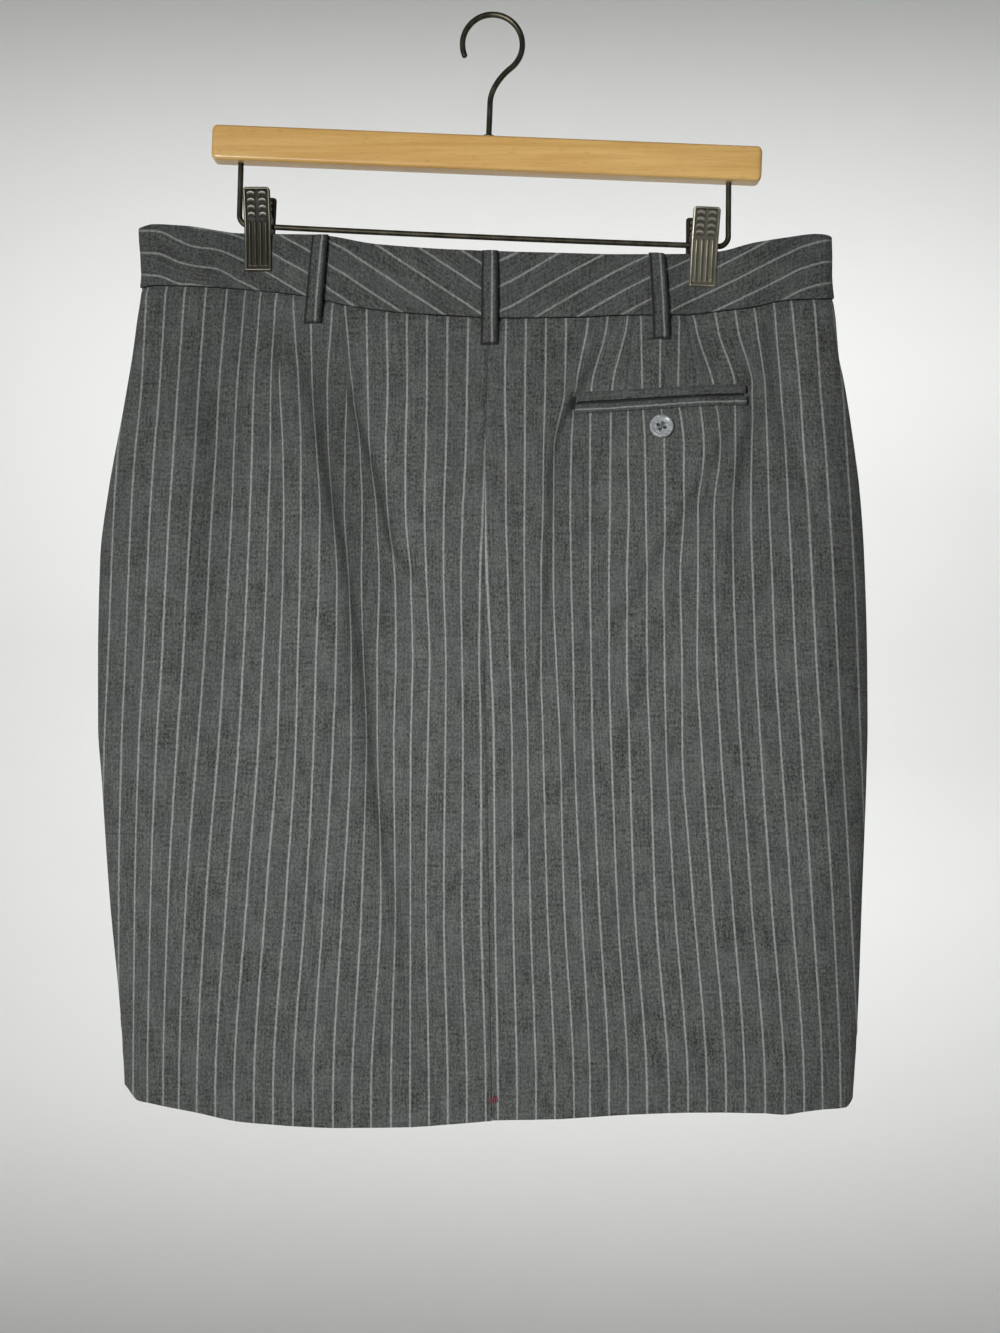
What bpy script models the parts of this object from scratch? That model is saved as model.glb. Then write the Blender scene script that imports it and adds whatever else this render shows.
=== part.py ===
"""Pencil skirt held by the two clips of a wooden skirt hanger.

Frame: +Z up, origin at the inside top of the hanger's hook, where a rail carries it.
-Y is the side the skirt's back faces, +Y its front, +X the wearer's right.
All sizes below are millimetres; MM turns them into metres when a mesh is made.

The skirt is a flattened tube.  One surface function gives the middle of the cloth for
any place on the back or the front; every cloth piece is a wall around that surface,
and what lies on a panel (loops, welts, buttons) is made from the panel's own points,
moved out along its normal.
"""
import bpy
import bmesh
import math
import numpy as np
from mathutils import Matrix, Vector

for ob in list(bpy.data.objects):
    bpy.data.objects.remove(ob, do_unlink=True)

MM = 0.001

# ---------------------------------------------------------------- driving sizes
PANEL_T = 1.4        # wool panel wall
BAND_T = 2.4         # folded and interfaced waistband
LOOP_T = 1.6         # belt loop, folded strip
WELT_T = 1.6         # pocket welt
LINER_T = 1.2        # pocketing
SEAM_GAP = 0.3       # between pieces that are sewn together
CLEAR = 0.4          # between a piece and the panel it lies on
INNER_CLEAR = 1.0    # between a panel and the layer inside it

LOOP_W = 10.0
LOOP_RISE = 2.0      # how far a loop stands off the band half way down
POCKET_X = (51.0, 156.0)
POCKET_SLIT = 2.0
WELT_H = (5.6, 4.4)  # upper, lower
BUTTON_D = 14.4
BUTTON_T = 2.8

HANGER_TILT = math.radians(2.3)   # right end hangs lower
BAR = dict(left=-174.6, right=173.3, low=-98.7, high=-76.7, thick=12.0)
HOOK_D, HOOK_R, SHANK_TOP = 3.6, 19.0, -54.0
ROD_D, ROD_LEFT, ROD_RIGHT, ROD_Z, ROD_BEND = 3.2, -156.0, 154.7, -138.4, 5.0
CLIP = dict(width=17.0, plate=1.2, above=20.2, below=28.6)
CLIP_LEFT = dict(x=-148.7, lean=0.0)
CLIP_RIGHT = dict(x=134.0, lean=math.radians(3.5))

# side outline of the tube: height, left fold, right fold
OUTLINE = [
    (-133.0, -222.5, 212.5),
    (-150.0, -223.6, 214.0),
    (-173.0, -224.2, 215.2),
    (-192.0, -226.4, 217.0),
    (-215.0, -229.6, 219.0),
    (-230.0, -232.1, 222.0),
    (-253.0, -235.9, 225.7),
    (-276.0, -240.4, 228.9),
    (-298.0, -244.2, 231.8),
    (-344.0, -249.6, 235.2),
    (-413.0, -251.2, 236.7),
    (-451.0, -251.0, 237.0),
    (-481.0, -249.0, 236.4),
    (-557.0, -243.9, 233.6),
    (-634.0, -236.9, 230.8),
    (-700.0, -233.0, 226.5),
]
FOLD_R = 5.0         # rounding of the side folds
# reach and curve of the slopes that rise from the side folds: left, right
SIDE_SLOPE = {-1: ((44.0, 2.0), (33.0, 1.9)), 1: ((60.0, 2.0), (54.0, 1.9))}

# lines across the skirt: place, height
BAND_TOP = [(-224, -137.5), (-214, -134.0), (-193, -134.8), (-159, -138.0), (-112, -140.5),
            (-73, -146.8), (-19, -150.6), (29, -152.1), (80, -153.1), (122, -151.0),
            (143, -149.3), (164, -145.2), (184, -142.0), (204, -139.4), (214, -142.0)]
WAIST = [(-225, -174.2), (-193, -172.6), (-151, -173.9), (-121, -178.3), (-87, -185.9),
         (-58, -189.9), (-31, -191.8), (5, -193.4), (53, -193.0), (80, -191.5),
         (122, -189.6), (145, -187.1), (163, -185.9), (185, -181.2), (216, -178.6)]
HEM = [(-236, -672.5), (-232, -676.5), (-224, -685.0), (-215, -686.3), (-208, -688.0), (-184, -691.2), (-163, -695.4), (-138, -698.6),
       (-98, -699.7), (-58, -699.2), (-28, -697.3), (3, -694.9), (39, -694.2),
       (75, -691.7), (109, -690.4), (142, -690.4), (182, -691.6), (206, -688.8), (222, -688.6), (228, -681.5), (231.5, -673.5)]
FRONT_HEM = [(-235, -673.0), (-215, -684.0), (-150, -690.0), (0, -692.0), (150, -689.0),
             (210, -684.0), (228, -677.0)]
FRONT_DROP = 5.0     # the front waistband dips this much at the centre

CENTRE_BACK = [(-133, -2.2), (-215, -3.0), (-265, -4.5), (-335, -5.2), (-385, -5.3),
               (-515, -2.9), (-590, -2.3), (-700, -0.8)]
CENTRE_FRONT = [(-133, -3.0), (-700, -3.0)]

# ridges and valleys down the cloth: at each height, the place and how far the cloth stands out.
# They are drafted on the plane Y = 0 as they look from a point in front of that face.
HEIGHTS = (-133, -193, -236, -274, -312, -357, -408, -458, -509, -560, -611, -662, -700)
DRAFTED_FROM = {-1: (4.1, 800.0, -412.1), 1: None}      # place, distance, height
BACK_LINES = {
    "left_crest": ((-196, -197, -199, -199, -200, -200, -200, -200, -199, -199, -197, -196, -193),
                   (7.0, 7.5, 19, 29, 34, 36, 35.5, 33, 28.5, 24, 19.5, 16, 14)),
    "outer_valley": ((-167, -167, -167, -168, -171, -172, -172, -171, -169, -168, -167, -167, -166),
                     (6.8, 5.5, 12, 19.5, 25, 29, 30, 30, 27, 23.3, 19.2, 16, 14)),
    "left_ridge": ((-140, -140, -126, -121, -118, -113, -107, -102, -95, -83, -73, -66, -62),
                   (7.0, 6.5, 17, 28, 33, 35, 34.5, 33, 29.5, 25, 20.7, 17, 14.4)),
    "main_valley": ((-108, -107, -84, -70, -66, -64, -72, -70, -60, -49, -42, -37, -34),
                    (8.0, 6.5, 9.5, 12, 16.5, 21, 24, 26, 25.3, 22.2, 18.8, 15.6, 13.8)),
    "centre_left": ((-48, -44, -37, -34, -31, -27, -25, -24, -22, -20, -15, -10, -8),
                    (8.6, 9.5, 17, 23, 27, 30, 31, 30.3, 27.8, 24.2, 20.2, 16.8, 14.5)),
    "centre_right": ((16, 16, 22, 23, 21, 17, 12, 8, 6, 8, 12, 14, 16),
                     (8.8, 9.6, 17, 23, 27, 30, 31, 30.3, 28, 24.6, 20.4, 17, 14.6)),
    "pocket_flat": ((68, 68, 68, 67, 66, 66, 66, 66, 66, 66, 68, 68, 68),
                    (8.4, 9.0, 14, 18, 22, 26, 28.5, 29, 27.5, 24.4, 20.5, 17, 14.8)),
    "pocket_end": ((132, 132, 132, 132, 132, 132, 132, 132, 132, 132, 132, 132, 132),
                   (7.5, 7.5, 16.5, 24, 28, 30, 30, 28.8, 26.3, 23, 19.6, 16.6, 14.4)),
    "right_valley": ((175, 175, 176, 185, 197, 203, 205, 205, 204, 203, 202, 200, 199),
                     (6.6, 5.6, 9, 14, 19, 23, 24.5, 24, 22, 19.2, 16.6, 14.3, 12.8)),
    "right_crest": ((197, 198, 203, 211, 217, 221, 223, 223, 222, 221, 219, 216, 214),
                    (6.5, 7.2, 14, 19, 22, 23.5, 24, 23.4, 21.4, 18.6, 16.2, 14, 12.5)),
}
FRONT_LINES = {
    "left_crest": ((-196, -197, -199, -200, -200, -200, -200, -200, -200, -199, -197, -194, -193),
                   (7.0, 7.5, 13, 17.5, 20.7, 22.5, 23, 22, 20, 17.7, 15.5, 13.2, 12)),
    "left_side": ((-158, -158, -158, -159, -159, -158, -157, -154, -152, -151, -150, -150, -150),
                  (6.8, 6.0, 9.5, 14, 16.7, 19.5, 21.3, 21.2, 19.8, 17.8, 15.6, 13.6, 12.5)),
    "left_mid": ((-112, -112, -112, -112, -112, -112, -111, -108, -106, -103, -100, -98, -98),
                 (7.4, 7.4, 14, 19, 22.2, 24.5, 25, 24.2, 22, 19.5, 16.6, 14.4, 13.2)),
    "left_fall": ((-66, -66, -67, -69, -72, -73, -71, -66, -61, -56, -52, -50, -50),
                  (7.8, 7.6, 9.5, 12, 14.2, 17, 19, 19.8, 19.4, 17.8, 15.8, 14.2, 13.4)),
    "centre_left": ((-24, -24, -24, -24, -24, -24, -22, -21, -20, -19, -18, -16, -16),
                    (8.2, 8.8, 14, 18, 21, 23.5, 25, 24.4, 22.8, 20, 17, 14.8, 13.8)),
    "centre_right": ((22, 22, 22, 23, 24, 24, 24, 23, 22, 21, 20, 20, 20),
                     (8.2, 8.8, 14, 18, 20.8, 23.2, 24.6, 24, 22.4, 19.8, 16.9, 14.7, 13.7)),
    "right_fall": ((68, 68, 72, 75, 78, 80, 78, 74, 69, 64, 60, 57, 56),
                   (7.8, 7.6, 10, 12.4, 14.6, 17, 19, 19.8, 19.3, 17.8, 15.9, 14.2, 13.4)),
    "right_mid": ((112, 112, 114, 115, 116, 118, 116, 114, 112, 109, 106, 104, 104),
                  (7.4, 7.4, 14, 18.8, 21.7, 24, 24.6, 23.8, 21.8, 19.3, 16.6, 14.4, 13.2)),
    "right_side": ((152, 152, 153, 155, 157, 158, 156, 155, 154, 153, 152, 150, 150),
                   (6.8, 6.0, 10, 14.3, 17.2, 20, 21.4, 21, 19.4, 17.4, 15.4, 13.4, 12.4)),
    "right_crest": ((190, 192, 196, 199, 200, 202, 203, 203, 202, 201, 200, 198, 197),
                    (6.8, 7.0, 12, 16, 18.6, 20.5, 21, 20.4, 18.8, 16.8, 14.6, 12.8, 12)),
}
# belt loops: side, place at top, place at bottom, how far below the waist seam it ends
LOOPS = {
    "loop_back_left": (-1, -108.2, -113.6, 13.5),
    "loop_back_centre": (-1, -2.2, -2.2, 15.6),
    "loop_back_right": (-1, 101.9, 105.0, 15.0),
    "loop_front_left": (1, -112.0, -114.0, 14.0),
    "loop_front_right": (1, 112.0, 114.0, 14.0),
}


# ---------------------------------------------------------------- interpolation
def smooth(t):
    t = np.clip(t, 0.0, 1.0)
    return t * t * (3.0 - 2.0 * t)


def curve(rows, column=1):
    """A monotone cubic through a table's rows, as a function of its first column."""
    rows = sorted(rows)
    k = np.array([r[0] for r in rows], float)
    v = np.array([r[column] for r in rows], float)
    d = np.diff(v) / np.diff(k)
    m = np.zeros(len(k))
    m[0], m[-1] = d[0], d[-1]
    for i in range(1, len(k) - 1):
        if d[i - 1] * d[i] > 0:
            a, b = k[i] - k[i - 1], k[i + 1] - k[i]
            m[i] = 3 * (a + b) / ((2 * b + a) / d[i - 1] + (b + 2 * a) / d[i])

    def f(at):
        at = np.clip(np.asarray(at, float), k[0], k[-1])
        i = np.clip(np.searchsorted(k, at) - 1, 0, len(k) - 2)
        h = k[i + 1] - k[i]
        t = (at - k[i]) / h
        return ((2 * t**3 - 3 * t**2 + 1) * v[i] + (t**3 - 2 * t**2 + t) * h * m[i]
                + (-2 * t**3 + 3 * t**2) * v[i + 1] + (t**3 - t**2) * h * m[i + 1])
    return f


fold_line = {-1: curve(OUTLINE, 1), 1: curve(OUTLINE, 2)}
centre_seam = {-1: curve(CENTRE_BACK), 1: curve(CENTRE_FRONT)}
band_top_back = curve(BAND_TOP)
waist_back = curve(WAIST)
hem_line = {-1: curve(HEM), 1: curve(FRONT_HEM)}


def dip(x):
    """1 at centre front, 0 at the side folds."""
    return np.clip(1.0 - (np.asarray(x, float) / 215.0) ** 2, 0.0, 1.0)


def band_top(face, x):
    return band_top_back(x) - (FRONT_DROP * dip(x) if face > 0 else 0.0)


def waist(face, x):
    return waist_back(x) - (0.6 * FRONT_DROP * dip(x) if face > 0 else 0.0)


def rod_height(x):
    """World height of the rod's axis above place x."""
    c, s = math.cos(HANGER_TILT), math.sin(HANGER_TILT)
    x0 = (x - ROD_Z * s) / c
    return -x0 * s + ROD_Z * c


# ---------------------------------------------------------------- the cloth surface
PINCH_DEPTH = BAND_T / 2 + 0.3


def pinch(x, z):
    """How far the clips close the tube, 0 to 1."""
    total = 0.0
    for clip in (CLIP_LEFT, CLIP_RIGHT):
        jaw_end = rod_height(clip["x"]) - CLIP["below"]
        across = np.exp(-((x - clip["x"]) / 27.0) ** 4)
        down = 1.0 - smooth((jaw_end - 4.0 - z) / 70.0)
        total = np.maximum(total, across * down)
    return total


GRID_X = np.arange(-264.0, 256.0, 2.0)
GRID_Z = np.arange(-716.0, -126.0, 2.0)


def slopes(k, v):
    """Monotone cubic slopes along the last axis, level at both ends."""
    h = np.diff(k, axis=-1)
    d = np.diff(v, axis=-1) / h
    m = np.zeros_like(v)
    a, b = h[..., :-1], h[..., 1:]
    rising = d[..., :-1] * d[..., 1:] > 0
    d0, d1 = np.where(rising, d[..., :-1], 1.0), np.where(rising, d[..., 1:], 1.0)
    m[..., 1:-1] = np.where(rising, 3 * (a + b) / ((2 * b + a) / d0 + (b + 2 * a) / d1), 0.0)
    return m


def relief(lines, seen_from):
    """How far the cloth stands out over GRID_Z by GRID_X: a smooth curve across the lines at each height."""
    places, outs = [], []
    for place, out in lines.values():
        rows = []
        for z, x, d in zip(HEIGHTS, place, out):
            if seen_from:
                ex, far, ez = seen_from
                x, z = ex + (x - ex) * (far - d) / far, ez + (z - ez) * (far - d) / far
            rows.append((z, x, d))
        places.append(curve(rows, 1)(GRID_Z))
        outs.append(curve(rows, 2)(GRID_Z))
    k, v = np.stack(places, 1), np.stack(outs, 1)
    m = slopes(k, v)
    x = np.clip(GRID_X[None, :], k[:, :1], k[:, -1:])
    i = np.clip((k[:, :, None] <= x[:, None, :]).sum(1) - 1, 0, k.shape[1] - 2)
    pick = lambda a, j: np.take_along_axis(a, j, axis=1)
    h = pick(k, i + 1) - pick(k, i)
    t = (x - pick(k, i)) / h
    return ((2 * t**3 - 3 * t**2 + 1) * pick(v, i) + (t**3 - 2 * t**2 + t) * h * pick(m, i)
            + (-2 * t**3 + 3 * t**2) * pick(v, i + 1) + (t**3 - t**2) * h * pick(m, i + 1))


RELIEF = {-1: relief(BACK_LINES, DRAFTED_FROM[-1]), 1: relief(FRONT_LINES, DRAFTED_FROM[1])}


def stands_out(face, x, z):
    a = np.clip((x - GRID_X[0]) / 2.0, 0, len(GRID_X) - 1.001)
    b = np.clip((z - GRID_Z[0]) / 2.0, 0, len(GRID_Z) - 1.001)
    i, j = int(b), int(a)
    fb, fa = b - i, a - j
    g = RELIEF[face]
    return float((g[i, j] * (1 - fa) + g[i, j + 1] * fa) * (1 - fb)
                 + (g[i + 1, j] * (1 - fa) + g[i + 1, j + 1] * fa) * fb)


def depth(face, x, z):
    """Distance of the cloth's middle from the plane between back and front."""
    x, z = float(x), float(z)
    left, right = float(fold_line[-1](z)), float(fold_line[1](z))
    side = 0 if x - left < right - x else 1
    inset = max(x - left if side == 0 else right - x, 0.0)
    reach, power = SIDE_SLOPE[face][side]
    round_part = math.sqrt(max(FOLD_R**2 - (FOLD_R - min(inset, FOLD_R)) ** 2, 0.0))
    slope_part = 1.0 - (1.0 - min(inset / reach, 1.0)) ** power
    d = round_part + max(stands_out(face, x, z) - FOLD_R, -1.0) * slope_part
    p = float(pinch(x, z))
    return d * (1.0 - p) + PINCH_DEPTH * p


def surface(face, x, z):
    """Middle of the cloth at place x and height z, away from the side folds."""
    return np.array([x, face * (float(depth(face, x, z)) + SEAM_GAP / 2), z])


def surface_normal(face, x, z, e=0.4):
    du = surface(face, x + e, z) - surface(face, x - e, z)
    dv = surface(face, x, z + e) - surface(face, x, z - e)
    n = np.cross(du, dv)
    n /= np.linalg.norm(n)
    return n if n[1] * face > 0 else -n


def panel_point(face, side, q, z):
    """Middle of the cloth: q runs 0 to 1 from the centre seam to the fold, 1 to 2 round it."""
    r = FOLD_R
    edge = float(fold_line[side](z))
    start = float(centre_seam[face](z)) + side * SEAM_GAP / 2
    if q <= 1.0:
        x = start + (edge - side * r - start) * q
    else:
        x = edge - side * r * (1.0 - math.sin((q - 1.0) * math.pi / 2))
    return np.array([x, face * (float(depth(face, x, z)) + SEAM_GAP / 2), z])


def panel_normal(face, side, q, z, e=0.004):
    a, b = max(q - e, 0.0), min(q + e, 2.0)
    du = panel_point(face, side, b, z) - panel_point(face, side, a, z)
    dv = panel_point(face, side, q, z + 0.5) - panel_point(face, side, q, z - 0.5)
    n = np.cross(du, dv)
    n /= np.linalg.norm(n)
    outward = n[1] * face if q < 1.7 else n[0] * side
    return n if outward > 0 else -n


def columns(main, edge):
    return [i / main for i in range(main)] + [1.0 + i / edge for i in range(edge + 1)]


def height_on_line(face, side, q, line):
    """Height where column q meets a line across the skirt."""
    z = float(line(0.0))
    for _ in range(6):
        z = float(line(panel_point(face, side, q, z)[0]))
    return z


# ---------------------------------------------------------------- meshes
def material(name, colour, roughness, metallic=0.0):
    m = bpy.data.materials.new(name)
    m.use_nodes = True
    shader = m.node_tree.nodes["Principled BSDF"]
    shader.inputs["Base Color"].default_value = (*colour, 1.0)
    shader.inputs["Roughness"].default_value = roughness
    shader.inputs["Metallic"].default_value = metallic
    m.diffuse_color = (*colour, 1.0)
    return m


def add_object(name, verts, faces, mat, smooth_angle=50.0):
    mesh = bpy.data.meshes.new(name)
    mesh.from_pydata([tuple(c * MM for c in v) for v in verts], [], faces)
    bm = bmesh.new()
    bm.from_mesh(mesh)
    bmesh.ops.recalc_face_normals(bm, faces=bm.faces)
    if bm.calc_volume(signed=True) < 0:
        bmesh.ops.reverse_faces(bm, faces=bm.faces)
    bm.to_mesh(mesh)
    bm.free()
    mesh.shade_smooth()
    mesh.set_sharp_from_angle(angle=math.radians(smooth_angle))
    obj = bpy.data.objects.new(name, mesh)
    bpy.context.scene.collection.objects.link(obj)
    if mat is not None:
        mesh.materials.append(mat)
    return obj


def wall(name, points, normals, thickness, mat):
    """A closed wall around a grid of middle points."""
    p, n = np.array(points), np.array(normals)
    rows, cols = p.shape[:2]
    outer = (p + n * thickness / 2).reshape(-1, 3)
    inner = (p - n * thickness / 2).reshape(-1, 3)
    verts = np.vstack([outer, inner])
    o = lambda i, j: i * cols + j
    k = lambda i, j: rows * cols + i * cols + j
    faces = []
    for i in range(rows - 1):
        for j in range(cols - 1):
            faces.append((o(i, j), o(i, j + 1), o(i + 1, j + 1), o(i + 1, j)))
            faces.append((k(i, j), k(i + 1, j), k(i + 1, j + 1), k(i, j + 1)))
    for j in range(cols - 1):
        faces.append((o(0, j), k(0, j), k(0, j + 1), o(0, j + 1)))
        faces.append((o(rows - 1, j), o(rows - 1, j + 1), k(rows - 1, j + 1), k(rows - 1, j)))
    for i in range(rows - 1):
        faces.append((o(i, 0), o(i + 1, 0), k(i + 1, 0), k(i, 0)))
        faces.append((o(i, cols - 1), k(i, cols - 1), k(i + 1, cols - 1), o(i + 1, cols - 1)))
    return add_object(name, verts, faces, mat)


GRIDS = {}      # middle points and normals of each panel, kept for what lies on it


def half_wall(name, face, side, top, bottom, rows, cols, thickness, mat):
    """A panel or band half between two lines, from the centre seam to the side fold."""
    points = [[None] * len(cols) for _ in range(rows + 1)]
    normals = [[None] * len(cols) for _ in range(rows + 1)]
    for j, q in enumerate(cols):
        z0 = height_on_line(face, side, q, top)
        z1 = height_on_line(face, side, q, bottom)
        for i in range(rows + 1):
            z = z0 + (z1 - z0) * i / rows
            points[i][j] = panel_point(face, side, q, z)
            normals[i][j] = panel_normal(face, side, q, z)
    GRIDS[name] = (np.array(points), np.array(normals))
    return wall(name, points, normals, thickness, mat)


def from_panel(name, r, c, out):
    """The panel's own point at row r and column c (fractions lie on its facets), moved out."""
    points, normals = GRIDS[name]
    i, j = min(int(r), len(points) - 2), min(int(c), len(points[0]) - 2)
    a, b = r - i, c - j

    def mix(g):
        return ((g[i][j] * (1 - b) + g[i][j + 1] * b) * (1 - a)
                + (g[i + 1][j] * (1 - b) + g[i + 1][j + 1] * b) * a)
    n = mix(normals)
    n /= np.linalg.norm(n)
    return mix(points) + n * out, n


def place_on_panel(name, x, z):
    """Row and column of the panel's point at place x and height z."""
    points = GRIDS[name][0]
    last_r, last_c = len(points) - 1, len(points[0]) - 1
    r, c = last_r / 2, last_c / 2
    for _ in range(12):
        i = min(int(r), last_r - 1)
        across = points[i][:, 0] * (1 - (r - i)) + points[i + 1][:, 0] * (r - i)
        order = np.argsort(across)
        c = float(np.interp(x, across[order], np.arange(last_c + 1)[order]))
        j = min(int(c), last_c - 1)
        down = points[:, j, 2] * (1 - (c - j)) + points[:, j + 1, 2] * (c - j)
        r = float(np.interp(-z, -down, np.arange(last_r + 1)))
    return r, c


def cut(obj, cutter):
    """Subtract a cutter, which stays as a hidden guide."""
    cutter.hide_render = True
    cutter.display_type = "WIRE"
    mod = obj.modifiers.new("cut", "BOOLEAN")
    mod.operation = "DIFFERENCE"
    mod.solver = "EXACT"
    mod.object = cutter


def box_mesh(size, matrix=Matrix.Identity(4)):
    verts, faces = [], [(0, 1, 3, 2), (4, 6, 7, 5), (0, 4, 5, 1), (2, 3, 7, 6), (0, 2, 6, 4), (1, 5, 7, 3)]
    for i in (-0.5, 0.5):
        for j in (-0.5, 0.5):
            for k in (-0.5, 0.5):
                verts.append(tuple(matrix @ Vector((i * size[0], j * size[1], k * size[2]))))
    return verts, faces


def prism(profile, x0, x1):
    """Extrude a closed side profile of (y, z) points from x0 to x1."""
    n = len(profile)
    verts = [(x0, y, z) for y, z in profile] + [(x1, y, z) for y, z in profile]
    faces = [tuple(range(n)), tuple(range(2 * n - 1, n - 1, -1))]
    faces += [(i, (i + 1) % n, n + (i + 1) % n, n + i) for i in range(n)]
    return verts, faces


def turned(radius_profile, segments, hole=0.0):
    """A ring or disc about local Z from (radius, height) points, outer side up then inner side down."""
    verts, faces = [], []
    n = len(radius_profile)
    for s in range(segments):
        a = 2 * math.pi * s / segments
        verts += [(r * math.cos(a), r * math.sin(a), z) for r, z in radius_profile]
    for s in range(segments):
        t = (s + 1) % segments
        for i in range(n if hole > 0 else n - 1):
            j = (i + 1) % n
            faces.append((s * n + i, t * n + i, t * n + j, s * n + j))
    if hole <= 0:
        faces.append(tuple(s * n for s in range(segments))[::-1])
        faces.append(tuple(s * n + n - 1 for s in range(segments)))
    return verts, faces


def tube_curve(name, points, diameter, mat, resolution=3):
    data = bpy.data.curves.new(name, "CURVE")
    data.dimensions = "3D"
    data.bevel_depth = diameter / 2 * MM
    data.bevel_resolution = resolution
    data.use_fill_caps = True
    spline = data.splines.new("POLY")
    spline.points.add(len(points) - 1)
    for p, co in zip(spline.points, points):
        p.co = (co[0] * MM, co[1] * MM, co[2] * MM, 1.0)
    obj = bpy.data.objects.new(name, data)
    bpy.context.scene.collection.objects.link(obj)
    data.materials.append(mat)
    return obj


WOOL = material("wool", (0.085, 0.090, 0.090), 0.9)
WOOL_BAND = material("wool_band", (0.075, 0.080, 0.080), 0.9)
LINER = material("pocketing", (0.06, 0.065, 0.07), 0.85)
BUTTON = material("button", (0.38, 0.42, 0.45), 0.3)
WOOD = material("beech", (0.72, 0.42, 0.17), 0.4)
BRONZE = material("bronze_metal", (0.10, 0.09, 0.055), 0.38, 0.9)
BRONZE_LIGHT = material("bronze_worn", (0.22, 0.20, 0.15), 0.38, 0.9)

# ---------------------------------------------------------------- panels
BACK_COLS, FRONT_COLS = columns(28, 4), columns(18, 4)
seam_low = lambda face: (lambda x: waist(face, x) - SEAM_GAP / 2)
seam_high = lambda face: (lambda x: waist(face, x) + SEAM_GAP / 2)

for face, sides, cols, rows in ((-1, "back", BACK_COLS, 17), (1, "front", FRONT_COLS, 14)):
    for side, word in ((-1, "left"), (1, "right")):
        half_wall(f"{sides}_{word}", face, side, seam_low(face), hem_line[face], rows, cols, PANEL_T, WOOL)
        if (face, side) != (1, 1):
            half_wall(f"band_{sides}_{word}", face, side, lambda x, f=face: band_top(f, x), seam_high(face),
                      3, cols, BAND_T, WOOL_BAND)

# the right front band runs on past the centre front and laps over the left one
LAP = 34.0


def lap_out(x):
    return (BAND_T + SEAM_GAP) * (1.0 - smooth((x - 1.0) / 15.0))


lap_points, lap_normals = [], []
side_cols = FRONT_COLS
for i in range(4):
    prow, nrow = [], []
    t = i / 3
    for x in [-LAP - 3.0 + 5.0 * k for k in range(11)]:
        z = band_top(1, x) * (1 - t) + (waist(1, x) + SEAM_GAP / 2) * t
        n = surface_normal(1, x, z)
        prow.append(surface(1, x, z) + n * lap_out(x))
        nrow.append(n)
    for q in side_cols[1:]:
        if panel_point(1, 1, q, -160.0)[0] < 18.0:
            continue
        z0 = height_on_line(1, 1, q, lambda x: band_top(1, x))
        z1 = height_on_line(1, 1, q, seam_high(1))
        z = z0 + (z1 - z0) * t
        p = panel_point(1, 1, q, z)
        n = panel_normal(1, 1, q, z)
        prow.append(p + n * lap_out(p[0]))
        nrow.append(n)
    lap_points.append(prow)
    lap_normals.append(nrow)
wall("band_front_right", lap_points, lap_normals, BAND_T, WOOL_BAND)

# ---------------------------------------------------------------- vent under layer, pocketing
def inner_layer(name, cells, thickness, mat):
    """A layer just inside the panels: rows of (panel, row, column)."""
    out = -(PANEL_T / 2 + INNER_CLEAR + thickness / 2)
    grid = [[from_panel(panel, r, c, out) for panel, r, c in row] for row in cells]
    return wall(name, [[p for p, _ in row] for row in grid], [[n for _, n in row] for row in grid],
                thickness, mat)


VENT_TOP = -548.0
LEFT_ROWS = len(GRIDS["back_left"][0]) - 1
top_row = place_on_panel("back_left", -6.0, VENT_TOP)[0]
vent_rows = [top_row] + [float(r) for r in range(int(top_row) + 1, LEFT_ROWS)] + [LEFT_ROWS - 0.12]
edge_col = place_on_panel("back_left", -38.0, -620.0)[1]
flap_col = place_on_panel("back_right", 10.0, -620.0)[1]
vent_cols = ([("back_left", edge_col)] + [("back_left", float(c)) for c in range(int(edge_col), -1, -1)]
             + [("back_right", float(c)) for c in range(1, int(flap_col) + 1)] + [("back_right", flap_col)])
inner_layer("vent_underlap", [[(panel, r, c) for panel, c in vent_cols] for r in vent_rows], PANEL_T, WOOL)

bag_top, bag_near = place_on_panel("back_right", 44.0, -236.0)
bag_low, bag_far = place_on_panel("back_right", 163.0, -346.0)
bag_rows = [bag_top] + [float(r) for r in range(int(bag_top) + 1, int(bag_low) + 1)] + [bag_low]
bag_cols = [bag_near] + [float(c) for c in range(int(bag_near) + 1, int(bag_far) + 1)] + [bag_far]
inner_layer("pocket_bag", [[("back_right", r, c) for c in bag_cols] for r in bag_rows], LINER_T, LINER)

# ---------------------------------------------------------------- belt loops
for name, (face, x_top, x_low, below) in LOOPS.items():
    z_top = float(band_top(face, x_top)) - 0.2
    z_low = float(waist(face, x_low)) - below
    steps = 10
    places, heights, outs = [], [], []
    for i in range(steps + 1):
        t = i / steps
        xc = x_top + (x_low - x_top) * t
        z = z_top + (z_low - z_top) * t
        rise = LOOP_RISE * min(1.0, 2.2 * math.sin(math.pi * t) ** 0.8)
        places.append([xc - LOOP_W / 2, xc, xc + LOOP_W / 2])
        heights.append([z, z, z])
        outs.append([BAND_T / 2 + CLEAR + LOOP_T / 2 + rise + 0.9 * smooth((t - 0.66) / 0.3)] * 3)
    points = [[surface(face, x, z) + surface_normal(face, xr[1], z) * o for x, z, o in zip(xr, zr, orow)]
              for xr, zr, orow in zip(places, heights, outs)]
    normals = [[surface_normal(face, xr[1], zr[1])] * 3 for xr, zr in zip(places, heights)]
    wall(name, points, normals, LOOP_T, WOOL)

# ---------------------------------------------------------------- back pocket
def slit(x):
    """Height of the pocket's slit: it climbs a little towards the side."""
    t = (x - POCKET_X[0]) / (POCKET_X[1] - POCKET_X[0])
    return -250.2 + 5.0 * t


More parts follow.
